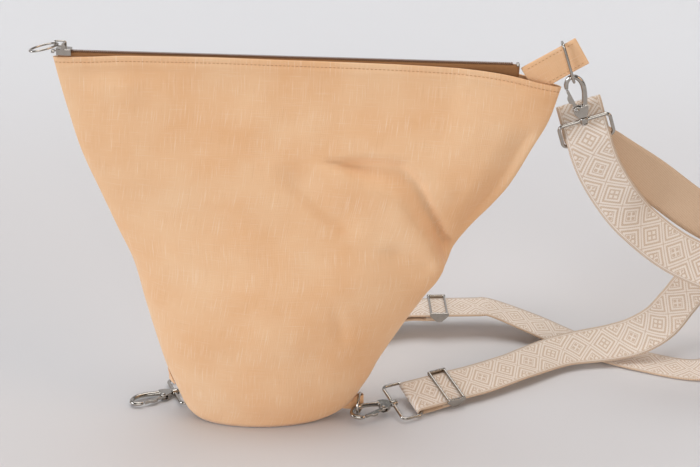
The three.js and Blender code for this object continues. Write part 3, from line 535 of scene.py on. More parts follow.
def panelAt(turn, v):  # outer face of the front panel: turn 0 to pi from the left seam to the right, v 0 to 1 up
    s = (1 - cos(turn)) / 2
    leftTop, rightTop = bag["leftSeam"][-1], bag["rightSeam"][-1]
    topX = leftTop[1] + (rightTop[1] - leftTop[1]) * s
    half = bag["baseLong"] / 2
    leftZ = bag["floor"] + v * (leftTop[0] - bag["floor"])
    rightZ = bag["floor"] + v * (rightTop[0] - bag["floor"])
    left, right = readTable(bag["leftSeam"], leftZ), readTable(bag["rightSeam"], rightZ)
    x = left + (right - left) * s + (1 - v) * half * (2 * s - 1) + v * topX
    x -= (1 - s) * ((1 - v) * -half + v * leftTop[1]) + s * ((1 - v) * half + v * rightTop[1])
    flatTop = leftTop[0] + (rightTop[0] - leftTop[0]) * s
    edge = zipHeight(topX) - readTable(bag["hem"], topX)
    z = leftZ + (rightZ - leftZ) * s + v ** 4 * (edge - flatTop)
    square = 2 + 12 * ease((v - 0.6) / 0.4)  # oval at the base, nearly square at the top
    full = sqrt(max(0, 1 - abs(cos(turn)) ** square))
    corner = sqrt(max(0, sin(pi * min(1, max(0, (s - 0.8) / 0.2))))) * ease((v - 0.72) / 0.2)  # upper right corner
    deep = readTable(bag["fullness"], v) * full + bag["cornerFullness"] * corner
    return Vector((x, -deep - bag["gap"] / 2, z))


def panelOut(turn, v):
    step = 1e-3
    a = panelAt(min(pi, turn + step), v) - panelAt(max(0, turn - step), v)
    b = panelAt(turn, min(1, v + step)) - panelAt(turn, max(0, v - step))
    return a.cross(b).normalized()


def nearStroke(path, x, z):  # signed distance to a stroke, left of its way positive, and the share along it
    best, side, run, total = 1e9, 1, 0, 0
    for (x0, z0), (x1, z1) in zip(path, path[1:]):
        dx, dz = x1 - x0, z1 - z0
        long = hypot(dx, dz)
        t = min(1, max(0, ((x - x0) * dx + (z - z0) * dz) / (long * long)))
        away = hypot(x - x0 - t * dx, z - z0 - t * dz)
        if away < best:
            best, run = away, total + t * long
            side = 1 if dx * (z - z0) - dz * (x - x0) > 0 else -1
        total += long
    return side * best, run / total


frontRoll = {  # the big fold at the right: a lit roll, with a hollow between its crest and the upper line
    "crest": [(46, 259), (68, 253), (101, 236), (120, 224), (132, 205), (147, 187), (156, 162), (168, 138)],
    "upper": [(43, 262), (73, 260), (101, 263), (128, 260), (146, 241), (155, 216), (166, 188), (180, 165)],
    "belly": 5.4, "bellyWide": 20, "hollow": 7.5, "fall": (0.5, 0.74),  # share of the hollow that falls, at each end
}
frontFlank = {"path": [(222, 300), (198, 266), (185, 240), (172, 216), (163, 183)], "fall": -6.5, "wide": 30}
folds = {  # X, Z of each fold on the panel, height, width to its left and right, fade in and out
    "front": [
        ([(18, 256), (40, 233), (62, 213), (82, 199), (98, 194)], -4.6, (15, 6), (0.3, 0.3)),
        ([(101, 176), (118, 178), (133, 174), (156, 157)], -3.0, (5, 8), (0.4, 0.2)),
        ([(151, 243), (172, 222)], 1.6, (7, 7), (0.4, 0.4)),
        ([(205, 325), (239, 304)], 1.3, (4.5, 4.5), (0.3, 0.3)),
        ([(218, 319), (251, 303)], 1.2, (4, 4), (0.3, 0.3)),
        ([(64, 144), (74, 110), (77, 79)], -1.4, (6, 6), (0.4, 0.4)),
        ([(-140, 318), (-110, 314), (-80, 320)], 1.8, (16, 16), (0.3, 0.4)),
        ([(-150, 330), (-110, 331), (-70, 333)], -1.2, (7, 7), (0.3, 0.4)),
        ([(-80, 190), (-60, 120), (-45, 60)], 1.4, (20, 20), (0.3, 0.3)),
        ([(-18, 160), (8, 120), (20, 60)], 1.2, (22, 22), (0.3, 0.3))],
    "back": [
        ([(-70, 275), (-30, 200), (5, 120)], -2.8, (12, 18), (0.3, 0.4)),
        ([(170, 262), (120, 205), (95, 130)], -4.2, (12, 22), (0.3, 0.3)),
        ([(200, 280), (150, 235), (128, 180)], 2.6, (14, 14), (0.3, 0.3)),
        ([(60, 300), (75, 230), (60, 160)], 2.0, (22, 22), (0.3, 0.4)),
        ([(-20, 70), (20, 60), (66, 76)], -1.8, (8, 8), (0.4, 0.4)),
        ([(-120, 310), (-95, 240)], 2.0, (16, 16), (0.4, 0.4))],
}


def foldRelief(name, x, z):
    total = 0.0
    for path, rise, wides, fades in folds[name]:
        away, share = nearStroke(path, x, z)
        wide = wides[0] if away > 0 else wides[1]
        if abs(away) <= 3 * wide:
            fade = ease(share / fades[0]) * ease((1 - share) / fades[1])
            total += rise * fade * exp(-(away / wide) ** 2)
    return total


def rollRelief(x, z):  # the roll with its hollow, and the flank that falls away beyond it
    rise = 0.0
    away, share = nearStroke(frontRoll["crest"], x, z)
    upper = nearStroke(frontRoll["upper"], x, z)[0]
    hold = ease(share / 0.25)
    if away < 0:
        rise += frontRoll["belly"] * hold * exp(-(away / frontRoll["bellyWide"]) ** 2)
    elif upper < 0:
        over = away / (away - upper)
        first, last = frontRoll["fall"]
        fall = first + (last - first) * ease((share - 0.1) / 0.4)
        down, back = ease(over / fall), ease((over - fall) / (1 - fall))
        rise += hold * (frontRoll["belly"] * (1 - down) - frontRoll["hollow"] * down) * (1 - back)
    flank, share = nearStroke(frontFlank["path"], x, z)
    if flank > 0:
        rise += frontFlank["fall"] * ease(flank / frontFlank["wide"]) * ease(share / 0.2) * ease((1 - share) / 0.2)
    return rise


def wrinkle(x, z, seed):  # slack in the cloth, broad then small
    return sum(high * noise.noise(Vector((x / wide, z / tall, seed + 5 * k)))
               for k, (wide, tall, high) in enumerate(bag["slack"]))


def sewPanel(name, side, seed):
    top = sorted([*bag["hemRows"], bag["stitchDrop"]])
    tall, columns = bag["tall"], bag["columns"]
    rows = [1 - drop / tall for drop in top]
    count = round((tall - top[-1]) / bag["rowStep"])
    rows += [rows[-1] * (1 - (k + 1) / count) for k in range(count)]
    rows.reverse()
    turns = evenSteps(0, pi, columns)
    rest = [[panelAt(turn, v) for turn in turns] for v in rows]
    up = runsAlong([line[columns // 2] for line in rest])
    spots, flats = [], []
    for v, line in zip(rows, rest):
        run = runsAlong(line)
        below = (1 - v) * tall
        groove = bag["groove"] * exp(-((below - bag["stitchDrop"]) / bag["grooveWide"]) ** 2)
        hem = bag["hemRise"] * (ease((bag["hemDeep"] - below) / 1.5) - ease((0.8 - below) / 0.8))
        placed = []
        for i, turn in enumerate(turns):
            here = line[i].copy()
            s = (1 - cos(turn)) / 2
            seams = ease(s / 0.05) * ease((1 - s) / 0.03)  # relief fades out at the seams, the hem and the base
            rise = foldRelief(name, here.x, here.z) + (rollRelief(here.x, here.z) if name == "front" else 0)
            rise *= seams * ease((below - 2) / 14) * ease(v / 0.05)
            rise += wrinkle(here.x, here.z, seed) * seams * ease((below - 4) / 26) * ease(v / 0.06)
            rise += (hem - groove) * ease(s / 0.01) * ease((1 - s) / 0.01)
            ends = exp(-(run[i] / bag["pinchWide"]) ** 2) + exp(-((run[-1] - run[i]) / bag["pinchWide"]) ** 2)
            here += panelOut(turn, v) * rise
            here.x += ends * bag["pinch"] * (1 if s < 0.5 else -1)
            here.z -= (bag["floor"] - 0.4) * (1 - ease(v / 0.03))  # down over the edge of the base
            here.y = min(here.y, -bag["gap"] / 2)
            placed.append(Vector((here.x, side * -here.y, here.z)) * mm)
        spots.append(placed)
        flats.append([(r - run[columns // 2]) * mm * -side for r in run])

    def spotAt(column, row):
        if side > 0:
            column = columns - column
        return spots[row][column], (flats[row][column], up[row] * mm)

    bm = bmesh.new()
    mapGrid(bm, columns, len(rows) - 1, spotAt)
    panel = makePiece(f"{name}_panel_canvas", bm, canvas, "bag", [f"{name}_panel"])
    group = panel.vertex_groups.new(name="wall")
    thin = bag["seamWall"]
    for vert in panel.data.vertices:  # thin at the side seams, where the two panels meet
        share = ease((abs(vert.co.y) - bag["gap"] * mm / 2) / (bag["seamFade"] * mm))
        group.add([vert.index], thin + (1 - thin) * share, "REPLACE")
    addThickness(panel, bag["wall"], -1.0, "wall")

    stitchRow = len(rows) - 1 - top.index(bag["stitchDrop"])
    outs = [panelOut(turn, rows[stitchRow]) for turn in turns[3:-3]]
    outs = [Vector((o.x, side * -o.y, o.z)) for o in outs]
    bm = bmesh.new()
    sewLine(bm, spots[stitchRow][3:-3], outs, bag["stitch"])
    makePiece(f"{name}_hem_stitches", bm, hemThread, "bag")
    return panel


frontPanel = sewPanel("front", -1, 3.0)
backPanel = sewPanel("back", 1, 11.0)
print("panels sewn")

baseCut = {"shrink": 1.6, "thick": 1.7, "lift": 0.1, "insets": (0.8, 4, 8, 8), "edge": 0.5}


def sewBase():  # oval bottom, its rim turned up inside the panels
    bm = bmesh.new()
    uv = bm.loops.layers.uv.new("cloth")
    made = bmesh.ops.create_circle(bm, cap_ends=True, cap_tris=False, segments=96, radius=1)
    long, deep = bag["baseLong"] / 2 - baseCut["shrink"], bag["baseDeep"] / 2 - baseCut["shrink"]
    bmesh.ops.scale(bm, vec=(long * mm, deep * mm, 1), verts=made["verts"])
    bmesh.ops.translate(bm, vec=(0, 0, baseCut["lift"] * mm), verts=made["verts"])
    for inset in baseCut["insets"]:
        bmesh.ops.inset_region(bm, faces=[f for f in bm.faces if len(f.verts) > 4], thickness=inset * mm)
    bmesh.ops.poke(bm, faces=[f for f in bm.faces if len(f.verts) > 4])
    grown = bmesh.ops.extrude_face_region(bm, geom=bm.faces[:])["geom"]
    bmesh.ops.translate(bm, vec=(0, 0, baseCut["thick"] * mm), verts=vertsOf(grown))
    bmesh.ops.recalc_face_normals(bm, faces=bm.faces[:])
    rim = [e for e in bm.edges if e.calc_face_angle(0) > 1]
    bmesh.ops.bevel(bm, geom=rim, offset=baseCut["edge"] * mm, offset_type="OFFSET", segments=3, profile=0.5,
                    affect="EDGES", material=-1)
    for face in bm.faces:
        for loop in face.loops:
            loop[uv].uv = loop.vert.co.xy
    makePiece("base_canvas", bm, canvas, "bag", ["base_panel"])


bindingCut = {"wide": 6, "thick": 0.72, "inset": {"left": 1.4, "right": -2.0}, "span": (24, 272), "rows": 80,
              "columns": 6, "waver": 0.12}


def sewBindings():  # woven tape folded over the raw seam edges inside
    c = bindingCut
    for name, inset in c["inset"].items():
        way = 1 if inset > 0 else -1

        def spotAt(column, row):
            low, high = c["span"]
            z = low + (high - low) * row / c["rows"]
            across = inset + way * (0.2 + (c["wide"] - 0.4) * column / c["columns"])
            y = c["waver"] * sin(z / 4 + column)
            return Vector((readTable(bag[f"{name}Seam"], z) + across, y, z)) * mm, (across * mm, z * mm)

        layCloth(f"{name}_binding_tape", bindingCloth, f"{name}_seam_binding", "binding", (c["columns"], c["rows"]),
                 spotAt, c["thick"], turnOut=False)


sewBase()
sewBindings()
print("base and bindings sewn")

zipWay = jointOf["zip_slide"]["axis"]
zipFrame = placing((bag["zipStart"][0] * mm, 0, bag["zipStart"][1] * mm), zipWay, (0, 1, 0))
zipLong = hypot(bag["zipEnd"][0] - bag["zipStart"][0], bag["zipEnd"][1] - bag["zipStart"][1])
zipCut = {  # x along the zip from its left end, y across, z up, mm
    "tapeFrom": 2.5, "tapeTo": 3.0, "tapeThick": 0.45, "rows": 126, "waver": 0.12,
    "tape": [(0.2, -0.45), (1.1, -0.5), (1.9, -0.75), (2.3, -1.6), (2.2, -3.4), (1.8, -7), (1.5, -10.5), (1.4, -14)],
    "pitch": 1.6, "tooth": (0.62, 1.18, 0.72), "toothAt": (0.98, 0.35), "first": 0.9, "spare": 0.7,
    "seam": (4, 376, 1.72, 0.72), "stitch": {"pitch": 2.4, "long": 2.3, "thick": 0.42, "sink": 0.15},
    "stopLong": 2.6, "stopAt": {"left": -2.95, "right": zipLong + 0.35},
    "stop": [(-2.9, -1.3, 0.8), (2.9, -1.3, 0.8), (2.9, 1.3, 1.1), (-2.9, 1.3, 1.1)],
}
endOn = Matrix(((0, 0, 1, 0), (1, 0, 0, 0), (0, 1, 0, 0), (0, 0, 0, 1)))  # an outline across the zip


def layZip():
    c = zipCut
    points = c["tape"]
    for name, side in (("front", -1), ("back", 1)):
        def spotAt(column, row):
            x = c["tapeFrom"] + (zipLong + c["tapeTo"] - c["tapeFrom"]) * row / c["rows"]
            y, z = points[column if side > 0 else len(points) - 1 - column]
            waver = c["waver"] * noise.noise(Vector((x / 14, y, side)))
            return zipFrame @ Vector((x, side * (y + waver), z)), (-z * mm, x * mm)

        layCloth(f"{name}_zip_tape", zipCloth, f"zip_tape_{name}", "zip_tape", (len(points) - 1, c["rows"]),
                 spotAt, c["tapeThick"])

        bm = bmesh.new()
        start = c["first"] if side < 0 else c["first"] + c["pitch"] / 2
        place = moved(zipFrame, (start, side * c["toothAt"][0], c["toothAt"][1]))
        bmesh.ops.create_uvsphere(bm, u_segments=8, v_segments=6, radius=1,
                                  matrix=place @ Matrix.Diagonal((*c["tooth"], 1)))
        row = makePiece(f"{name}_zip_coil", bm, nylon, "bag", [f"zip_teeth_{name}"])
        modify(row, "coil", "ARRAY", use_relative_offset=False, use_constant_offset=True,
               constant_offset_displace=Vector(zipWay).normalized() * c["pitch"] * mm,
               count=int((zipLong - start - c["spare"]) / c["pitch"]))

        bm = bmesh.new()
        first, last, out, high = c["seam"]
        line = [zipFrame @ Vector((x, side * out, high)) for x in evenSteps(first, last, 60)]
        sewLine(bm, line, [axisOf(zipFrame, 2)] * len(line), c["stitch"])
        makePiece(f"{name}_zip_stitches", bm, zipThread, "bag")
    for name, x in c["stopAt"].items():
        bm = bmesh.new()
        cutPlate(bm, roundCorners(c["stop"], 3), 0.05, c["stopLong"] - 0.05, moved(zipFrame, (x, 0, 0)) @ endOn, 0.35)
        makeMetal(f"{name}_stop", bm, "bag", f"zip_stop_{name}")


sliderCut = {"from": 0.75, "long": 13.2, "half": 4.5, "high": 2.7, "bar": 6.45, "barRadius": 1.0, "barHalf": 4.1,
             "roof": 1.35, "lip": 1.2, "shoulder": 5, "nose": 0.7, "tail": 1.3, "cheek": (1.75, 4.2),
             "lipFrom": 2.15, "short": 0.4}


def castSlider():
    bm = bmesh.new()
    c = sliderCut
    x0, x1, middle = c["from"], c["from"] + c["long"], c["from"] + c["long"] / 2
    half, high, bar = c["half"], c["high"], c["bar"]
    shoulder, nose, tail = x1 - c["shoulder"], half - c["nose"], half - c["tail"]
    roof = roundCorners([(x0, -tail, 1.6), (shoulder, -half, 2.5), (x1, -nose, 1.6), (x1, nose, 1.6),
                         (shoulder, half, 2.5), (x0, tail, 1.6)], 4)
    cutPlate(bm, roof, high - c["roof"], high, zipFrame, 0.6)
    back, front, inner = x0 + c["short"], x1 - c["short"], c["lipFrom"]
    cheek = roundCorners([(middle - 1.9, high - 0.5, 0.3), (middle + 1.9, high - 0.5, 0.3),
                          (middle + 1.1, bar + 1.1, 0.9), (middle - 1.1, bar + 1.1, 0.9)], 4)
    for side in (-1, 1):
        wall = [(back, tail), (shoulder, half), (front, nose), (front, half - 1.35), (back, half - 1.4)]
        cutPlate(bm, [(x, side * y) for x, y in wall], -high, high - 0.4, zipFrame, 0.2)
        lip = [(back, inner), (front, inner), (front, nose), (shoulder, half), (back, tail)]
        cutPlate(bm, [(x, side * y) for x, y in lip], -high, -high + c["lip"], zipFrame, 0.3)
        low, far = sorted(-side * y for y in c["cheek"])
        cutPlate(bm, cheek, low, far, moved(zipFrame, turn=pi / 2, axis="X"), 0.4)
    r, end = c["barRadius"], c["barHalf"]
    turnProfile(bm, [(-end, 0), (-end, r), (end, r), (end, 0)], moved(zipFrame, (middle, 0, bar), pi / 2))
    makeMetal("slider_body", bm, "slider", "zip_slider", 0.2, 14)


pullCut = {"way": (-0.8, -0.56, -0.1), "long": 24, "wide": 14, "wire": 0.9,
           "linkWire": 0.7, "near": 1.9, "far": -7.7, "high": 2.15, "corner": 1.8}


def bendPull():
    c = pullCut
    near, far, high, corner = c["near"], c["far"], c["high"], c["corner"]
    lug = placing(jointOf["pull_link_swing"]["pos_m"], zipWay, axisOf(zipFrame, 2))
    bm = bmesh.new()
    bendWire(bm, roundCorners([(near, -high, corner), (near, high, corner), (far, high, corner), (far, -high, corner)]),
             c["linkWire"], lug)
    makeMetal("link_wire", bm, "link", "pull_link")
    bm = bmesh.new()
    joint = jointOf["pull_ring_swing"]
    ring = [(c["long"] / 2 * (1 - cos(a)), c["wide"] / 2 * sin(a)) for a in evenSteps(0, 2 * pi, 48)[:-1]]
    bendWire(bm, ring, c["wire"], placing(joint["pos_m"], c["way"], joint["axis"]))
    makeMetal("pull_wire", bm, "pull", "pull_ring")


layZip()
castSlider()
bendPull()
print("zip laid")

hooks = {"top": ("upper", "bag"), "a": ("right", "bag"), "b": ("free", "free_ring")}  # side, body of its strap ring
hookFrames = {}  # x from the ring's boss to the tip, y across, z through the flat of the hook
for hookName, (hookSide, _) in hooks.items():
    swivel, gateAxis = jointOf[f"{hookSide}_swivel"], Vector(jointOf[f"{hookSide}_gate_open"]["axis"])
    hookFrames[hookName] = placing(swivel["pos_m"], swivel["axis"], gateAxis.cross(Vector(swivel["axis"])))
hookCut = {  # mm
    "ringWire": 1.6, "ringSpan": 20, "barHalf": 22.1, "corner": 4, "bossRadius": 3.4, "bossHalf": 2.6, "bore": 2.05,
    "pivot": (11.5, -3.2), "tip": (31.3, -7), "half": 2.7, "slot": 1.75, "gateHalf": 1.4,
    "bow": [(9, 3.0, 2.5), (13, 3.8, 2.5), (16, 4.5, 2.45), (19, 5.2, 2.4), (22, 5.85, 2.35), (25, 6.4, 2.3),
            (28, 6.7, 2.3), (31, 6.75, 2.3), (33.5, 6.45, 2.25), (36, 5.75, 2.2), (38.2, 4.65, 2.15), (39.9, 3.25, 2.1),
            (41.1, 1.5, 2.1), (41.8, -0.5, 2.1), (41.4, -2.4, 2.1), (40.2, -4.15, 2.1), (38.5, -5.5, 2.05),
            (36.6, -6.4, 2.0), (34.6, -6.9, 1.9), (32.5, -7.1, 1.6)],  # x, y, radius round the fixed arm to the nose
    "post": [(-4.95, 0), (-4.9, 1.2), (-4.5, 2.2), (-3.9, 2.75), (-3.3, 2.9), (-2.95, 2.7), (-2.95, 1.7), (4.6, 1.7),
             (4.6, 0)],  # x, radius, from its riveted head
    "foot": [(3.3, -3.2, 0.9), (8.5, -6.2, 1.6), (13, -6.1, 1.5), (15, -3.2, 1.5), (13.4, 0.8, 1.2), (14, 6.6, 0.8),
             (8, 5.8, 1.2), (3.3, 3.2, 0.9)],
    "solid": [(3.3, -3.2), (8.1, -5.9), (8.2, 0.4), (13.6, 0.4), (14, 6.4), (8, 5.8), (3.3, 3.2)],
    "rivet": [(0.75, 0), (0.7, 0.9), (0.35, 1.6), (0, 1.8), (0, 0.9)], "rivetOut": 0.35,  # beyond the foot, radius
}


def forgeHook(name):
    c, place = hookCut, hookFrames[name]
    side, ringBody = hooks[name]
    bm = bmesh.new()  # strap ring with its swivel boss
    b, s, r = c["barHalf"], c["ringSpan"], c["corner"]
    bendWire(bm, roundCorners([(0, b, r), (-s, b, r), (-s, -b, r), (0, -b, r)], 8), c["ringWire"], place)
    h, r, bore = c["bossHalf"], c["bossRadius"], c["bore"]
    boss = [(-h, bore), (-h, r - 0.5), (-h + 0.5, r), (h - 0.5, r), (h, r - 0.5), (h, bore)]
    turnProfile(bm, boss, place, loop=True)
    makeMetal(f"strap_ring_{name}_wire", bm, ringBody, f"strap_ring_{name}", 0.25, 12)

    bm = bmesh.new()  # cast body: post with its riveted head, forked foot, fixed arm, bow and nose
    bendWire(bm, [(x, y) for x, y, _ in c["bow"]], [radius for *_, radius in c["bow"]], place, closed=False)
    turnProfile(bm, c["post"], place)
    foot = roundCorners(c["foot"], 3)
    f = c["half"]
    cutPlate(bm, foot, -f, -c["slot"], place, 0.25)
    cutPlate(bm, foot, c["slot"], f, place, 0.25)
    cutPlate(bm, c["solid"], -f + 0.2, f - 0.2, place, 0.3)
    makeMetal(f"hook_{name}_casting", bm, f"{side}_hook", f"hook_{name}", 0.22, 9)

    bm = bmesh.new()  # gate with its eye and thumb lever
    (px, py), (tx, ty) = c["pivot"], c["tip"]
    long = hypot(tx - px, ty - py)
    bar = moved(place, (px, py, 0), atan2(ty - py, tx - px))
    g = c["gateHalf"]
    # along the gate from its pivot, the lever at 0.42 to 0.62 of its length
    arm = roundCorners([(0.6, -1.4, 0.5), (0.34 * long, -1.4, 0.6), (0.42 * long, -3.4, 0.7), (0.62 * long, -3.3, 0.8),
                        (0.74 * long, -1.4, 1.2), (long, -1.15, 0.7), (long, 1.15, 0.7), (0.6, 1.4, 0.5)], 3)
    cutPlate(bm, arm, -g, g, bar, 0.4)
    eye = [(-g, 1.2), (-g, 2.2), (-g + 0.3, 2.5), (g - 0.3, 2.5), (g, 2.2), (g, 1.2)]
    turnProfile(bm, eye, moved(bar, turn=-pi / 2, axis="Y"), loop=True)
    makeMetal(f"gate_{name}_lever", bm, f"{side}_gate", f"gate_{name}", 0.2, 4)

    bm = bmesh.new()  # gate pin, both ends riveted over
    end = f + c["rivetOut"]
    pin = [(-end - x, radius) for x, radius in c["rivet"]]
    pin += [(-x, radius) for x, radius in reversed(pin)]
    turnProfile(bm, pin, moved(place, (px, py, 0), -pi / 2, "Y"))
    makeMetal(f"gate_pin_{name}_rivet", bm, f"{side}_hook", f"gate_pin_{name}")


for hookName in hookFrames:
    forgeHook(hookName)
print("hooks forged")

topTab = {"root": (10.64, 0, -14.25), "rise": 31, "wide": 25, "long": 50, "layer": 0.95, "mid": 0.76, "columns": 16,
          "sag": 0.35, "waver": 0.012, "seam": (-46, -3), "seamIn": 3,
          "stitch": {"pitch": 3.2, "long": 2.3, "thick": 0.6, "sink": 0.08}}
topRingCut = {"up": (-0.323, 0, 0.946), "middle": (17.3, 5.3), "corner": 3, "wire": 1.15}


def sewTopTab():  # folded canvas strip beyond the right end of the zip, with its ring
    rise = radians(topTab["rise"])
    root = Vector((bag["zipEnd"][0], 0, bag["zipEnd"][1])) + Vector(topTab["root"])
    way = Vector((cos(rise), 0, sin(rise)))
    m, long, wide, columns = topTab["mid"], topTab["long"], topTab["wide"], topTab["columns"]
    place = placing((root + way * long) * mm, way, (0, 1, 0))
    leg = evenSteps(-long, -m, 26)
    path = [Vector((x, -m)) for x in leg]
    path += [Vector((-m + m * sin(a), -m * cos(a))) for a in evenSteps(0, pi, 6)[1:-1]]
    path += [Vector((x, m)) for x in reversed(leg)]
    runs = runsAlong(path)

    def spotAt(column, row):
        x, y = path[row]
        z = wide * (0.5 - column / columns)
        sag = topTab["sag"] * noise.noise(Vector((x / 13, z / 11, 4))) * ease(-x / 10)
        return place @ Vector((x, y + sag, z * (1 + topTab["waver"] * sin(x / 9)))), (z * mm, runs[row] * mm)

    tab = layCloth("top_tab_canvas", canvas, "top_tab", "canvas", (columns, len(path) - 1), spotAt, topTab["layer"])
    modify(tab, "round", "SUBSURF", levels=1, render_levels=1)
    bm = bmesh.new()
    for side in (-1, 1):
        for edge in (-1, 1):
            line = [place @ Vector((x, side * (m + 0.45), edge * (wide / 2 - topTab["seamIn"])))
                    for x in evenSteps(*topTab["seam"], 20)]
            sewLine(bm, line, [Vector((0, side, 0))] * len(line), topTab["stitch"])
    makePiece("top_tab_stitches", bm, hemThread, "bag")

    bm = bmesh.new()
    (a, b), r = topRingCut["middle"], topRingCut["corner"]
    ring = placing(jointOf["top_ring_tilt"]["pos_m"], topRingCut["up"], (0, 1, 0))
    bendWire(bm, roundCorners([(a, b, r), (-a, b, r), (-a, -b, r), (a, -b, r)], 8), topRingCut["wire"], ring)
    makeMetal("top_ring_wire", bm, "top_ring", "top_ring")


sideTab = {"half": 7.3, "layer": 1.1, "loop": 2.45, "gap": 1.05, "bulge": 0.5, "columns": 10, "legs": 8}
dRing = {"wire": 1.35, "reach": 16, "half": 9.5, "corner": 2.5, "bend": 8.8,
         "leftBar": (-82.3, 10, 38), "leftWay": (0.2, 0.98, 0), "onHook": (27.3, 12.8, 0), "inBow": (36.5, -0.3, 0)}


def bendDRing(name, bar, way):
    reach, half, corner, bend = dRing["reach"], dRing["half"], dRing["corner"], dRing["bend"]
    foot = [(corner * (1 - cos(a)), corner * (1 - sin(a)) - half) for a in evenSteps(0, pi / 2, 8)]
    bow = [(reach - bend + bend * sin(a), -half * cos(a)) for a in evenSteps(0, pi, 28)]
    bm = bmesh.new()
    bendWire(bm, foot + bow + [(x, -y) for x, y in reversed(foot)], dRing["wire"],
             placing(bar * mm, Vector((way.x, way.y, 0)), (0, 0, 1)))
    makeMetal(f"{name}_d_ring_wire", bm, f"{name}_d", f"{name}_d_ring")


def sewSideTab(name, bar):  # canvas loop from the side seam round the bar of its D-ring
    loop, columns, legs = sideTab["loop"], sideTab["columns"], sideTab["legs"]
    turns = [radians(a) for a in range(-90, 91, 15)]
    rows = 2 * legs + len(turns) - 1

    def spotAt(column, row):
        z = bar.z + sideTab["half"] * (1 - 2 * column / columns)
        middle = Vector((bar.x, bar.y, z))
        root = Vector((readTable(bag[f"{name}Seam"], z), 0, z))
        out = (middle - root).normalized()
        root.x += copysign(sideTab["gap"], bar.x)
        side = Vector((0, 0, 1)).cross(out)
        if row < legs or row > rows - legs:
            flank = -1 if row < legs else 1
            share = row / legs if row < legs else (rows - row) / legs
            start = root + side * flank * sideTab["layer"] * 0.55
            end = middle + side * flank * loop
            here = start.lerp(end, share)
            here += side * flank * sideTab["bulge"] * sin(pi * share)
            run = share * (end - start).length
            run = run if flank < 0 else 2 * (end - start).length + pi * loop - run
        else:
            turn = turns[row - legs]
            here = middle + (out * cos(turn) + side * sin(turn)) * loop
            run = (middle - root).length + loop * (turn + pi / 2)
        return here * mm, (z * mm, run * mm)

    tab = layCloth(f"{name}_tab_canvas", canvas, f"{name}_tab", "canvas", (columns, rows), spotAt, sideTab["layer"])
    modify(tab, "round", "SUBSURF", levels=1, render_levels=1)


sewTopTab()
rightBar = hookFrames["a"] @ Vector(dRing["onHook"]) / mm
rightWay = hookFrames["a"] @ Vector(dRing["inBow"]) / mm - rightBar
for tabName, tabBar, ringWay in (("right", rightBar, rightWay),
                                 ("left", Vector(dRing["leftBar"]), Vector(dRing["leftWay"]))):
    bendDRing(tabName, tabBar, ringWay)
    sewSideTab(tabName, tabBar)
print("tabs and rings made")

strap = {  # one long strap from adjuster A round ring A, over the upper ring, to ring B and adjuster B, mm
    "wide": 38, "thick": 1.5, "wrap": 2.75, "span": 20, "glideAt": 36, "middleBar": -4.1, "outerBar": 2.7, "step": 3.6,
    "crown": 0.25, "columns": 10, "thinner": 0.15,  # of the tails
    "glideB": (171, 158, 26), "glideWayB": (1, 0.03, 0), "straight": (50, 42, 12, -32), "tail": 14,
    "tailPath": [(-13, -3.4), (-8, -3.4), (-4, -3.35), (0, -1.85), (1.59, -2.51), (2.25, -4.1), (1.59, -5.69),
                 (0, -6.35), (-4, -4.85), (-12, -4.8)],  # along and above the adjuster: sewn end, its middle bar, away
    "sideA": [(240, 62, 12.5), (291, 92, 13.5), (341, 98, 19.5), (363, 99, 26), (385, 101, 40), (402, 106, 60),
              (419, 112, 80), (450, 119, 98), (481, 110, 107), (504, 86, 111), (512, 52, 113), (482, 22, 119),
              (431, 11, 133), (373, 8, 158), (334, 7, 188)],
    "rollA": [-80, -70, -52, -40, -29, -23, -22, -30, -50, -75, -105, -140, -155, -159, -160],
    "approach": [(-74, -8, 10), (-46, -6, 2)],
    "fold": [(-28, -4), (-20, -3), (-14, 0.2), (-8, 3.6), (-2, 5.2), (6, 6), (10.5, 6.8), (12.6, 8.4), (12.8, 10.4),
             (11, 12.2), (6, 13.2), (-8, 14), (-24, 15)],
    "sideB": [(309, 25, 247), (345, 27, 223), (388, 28, 191), (450, 38, 153), (503, 58, 108), (521, 84, 66),
              (505, 96, 28), (468, 88, 8), (422, 74, 2), (367, 92, 1.6), (312, 121, 4), (266, 146, 14)],
    "rollB": [165, 161, 161, 165, 185, 212, 245, 265, 270, 270, 270, 270],
    "behind": [(106, 146, 20.5), (67, 121, 11.5), (25, 79, 7)], "behindGap": [3.6, 3.2, 3.4],
}


def onHook(name, along, above):  # from the strap bar of a lower ring, away from the hook and up
    return hookFrames[name] @ Vector((-strap["span"] - along, 0, -above))


glideFrames = {
    "a": placing(onHook("a", strap["glideAt"], strap["wrap"]), -axisOf(hookFrames["a"], 0), axisOf(hookFrames["a"], 1)),
    "b": placing(Vector(strap["glideB"]) * mm, strap["glideWayB"], (-strap["glideWayB"][1], 1, 0)),
}


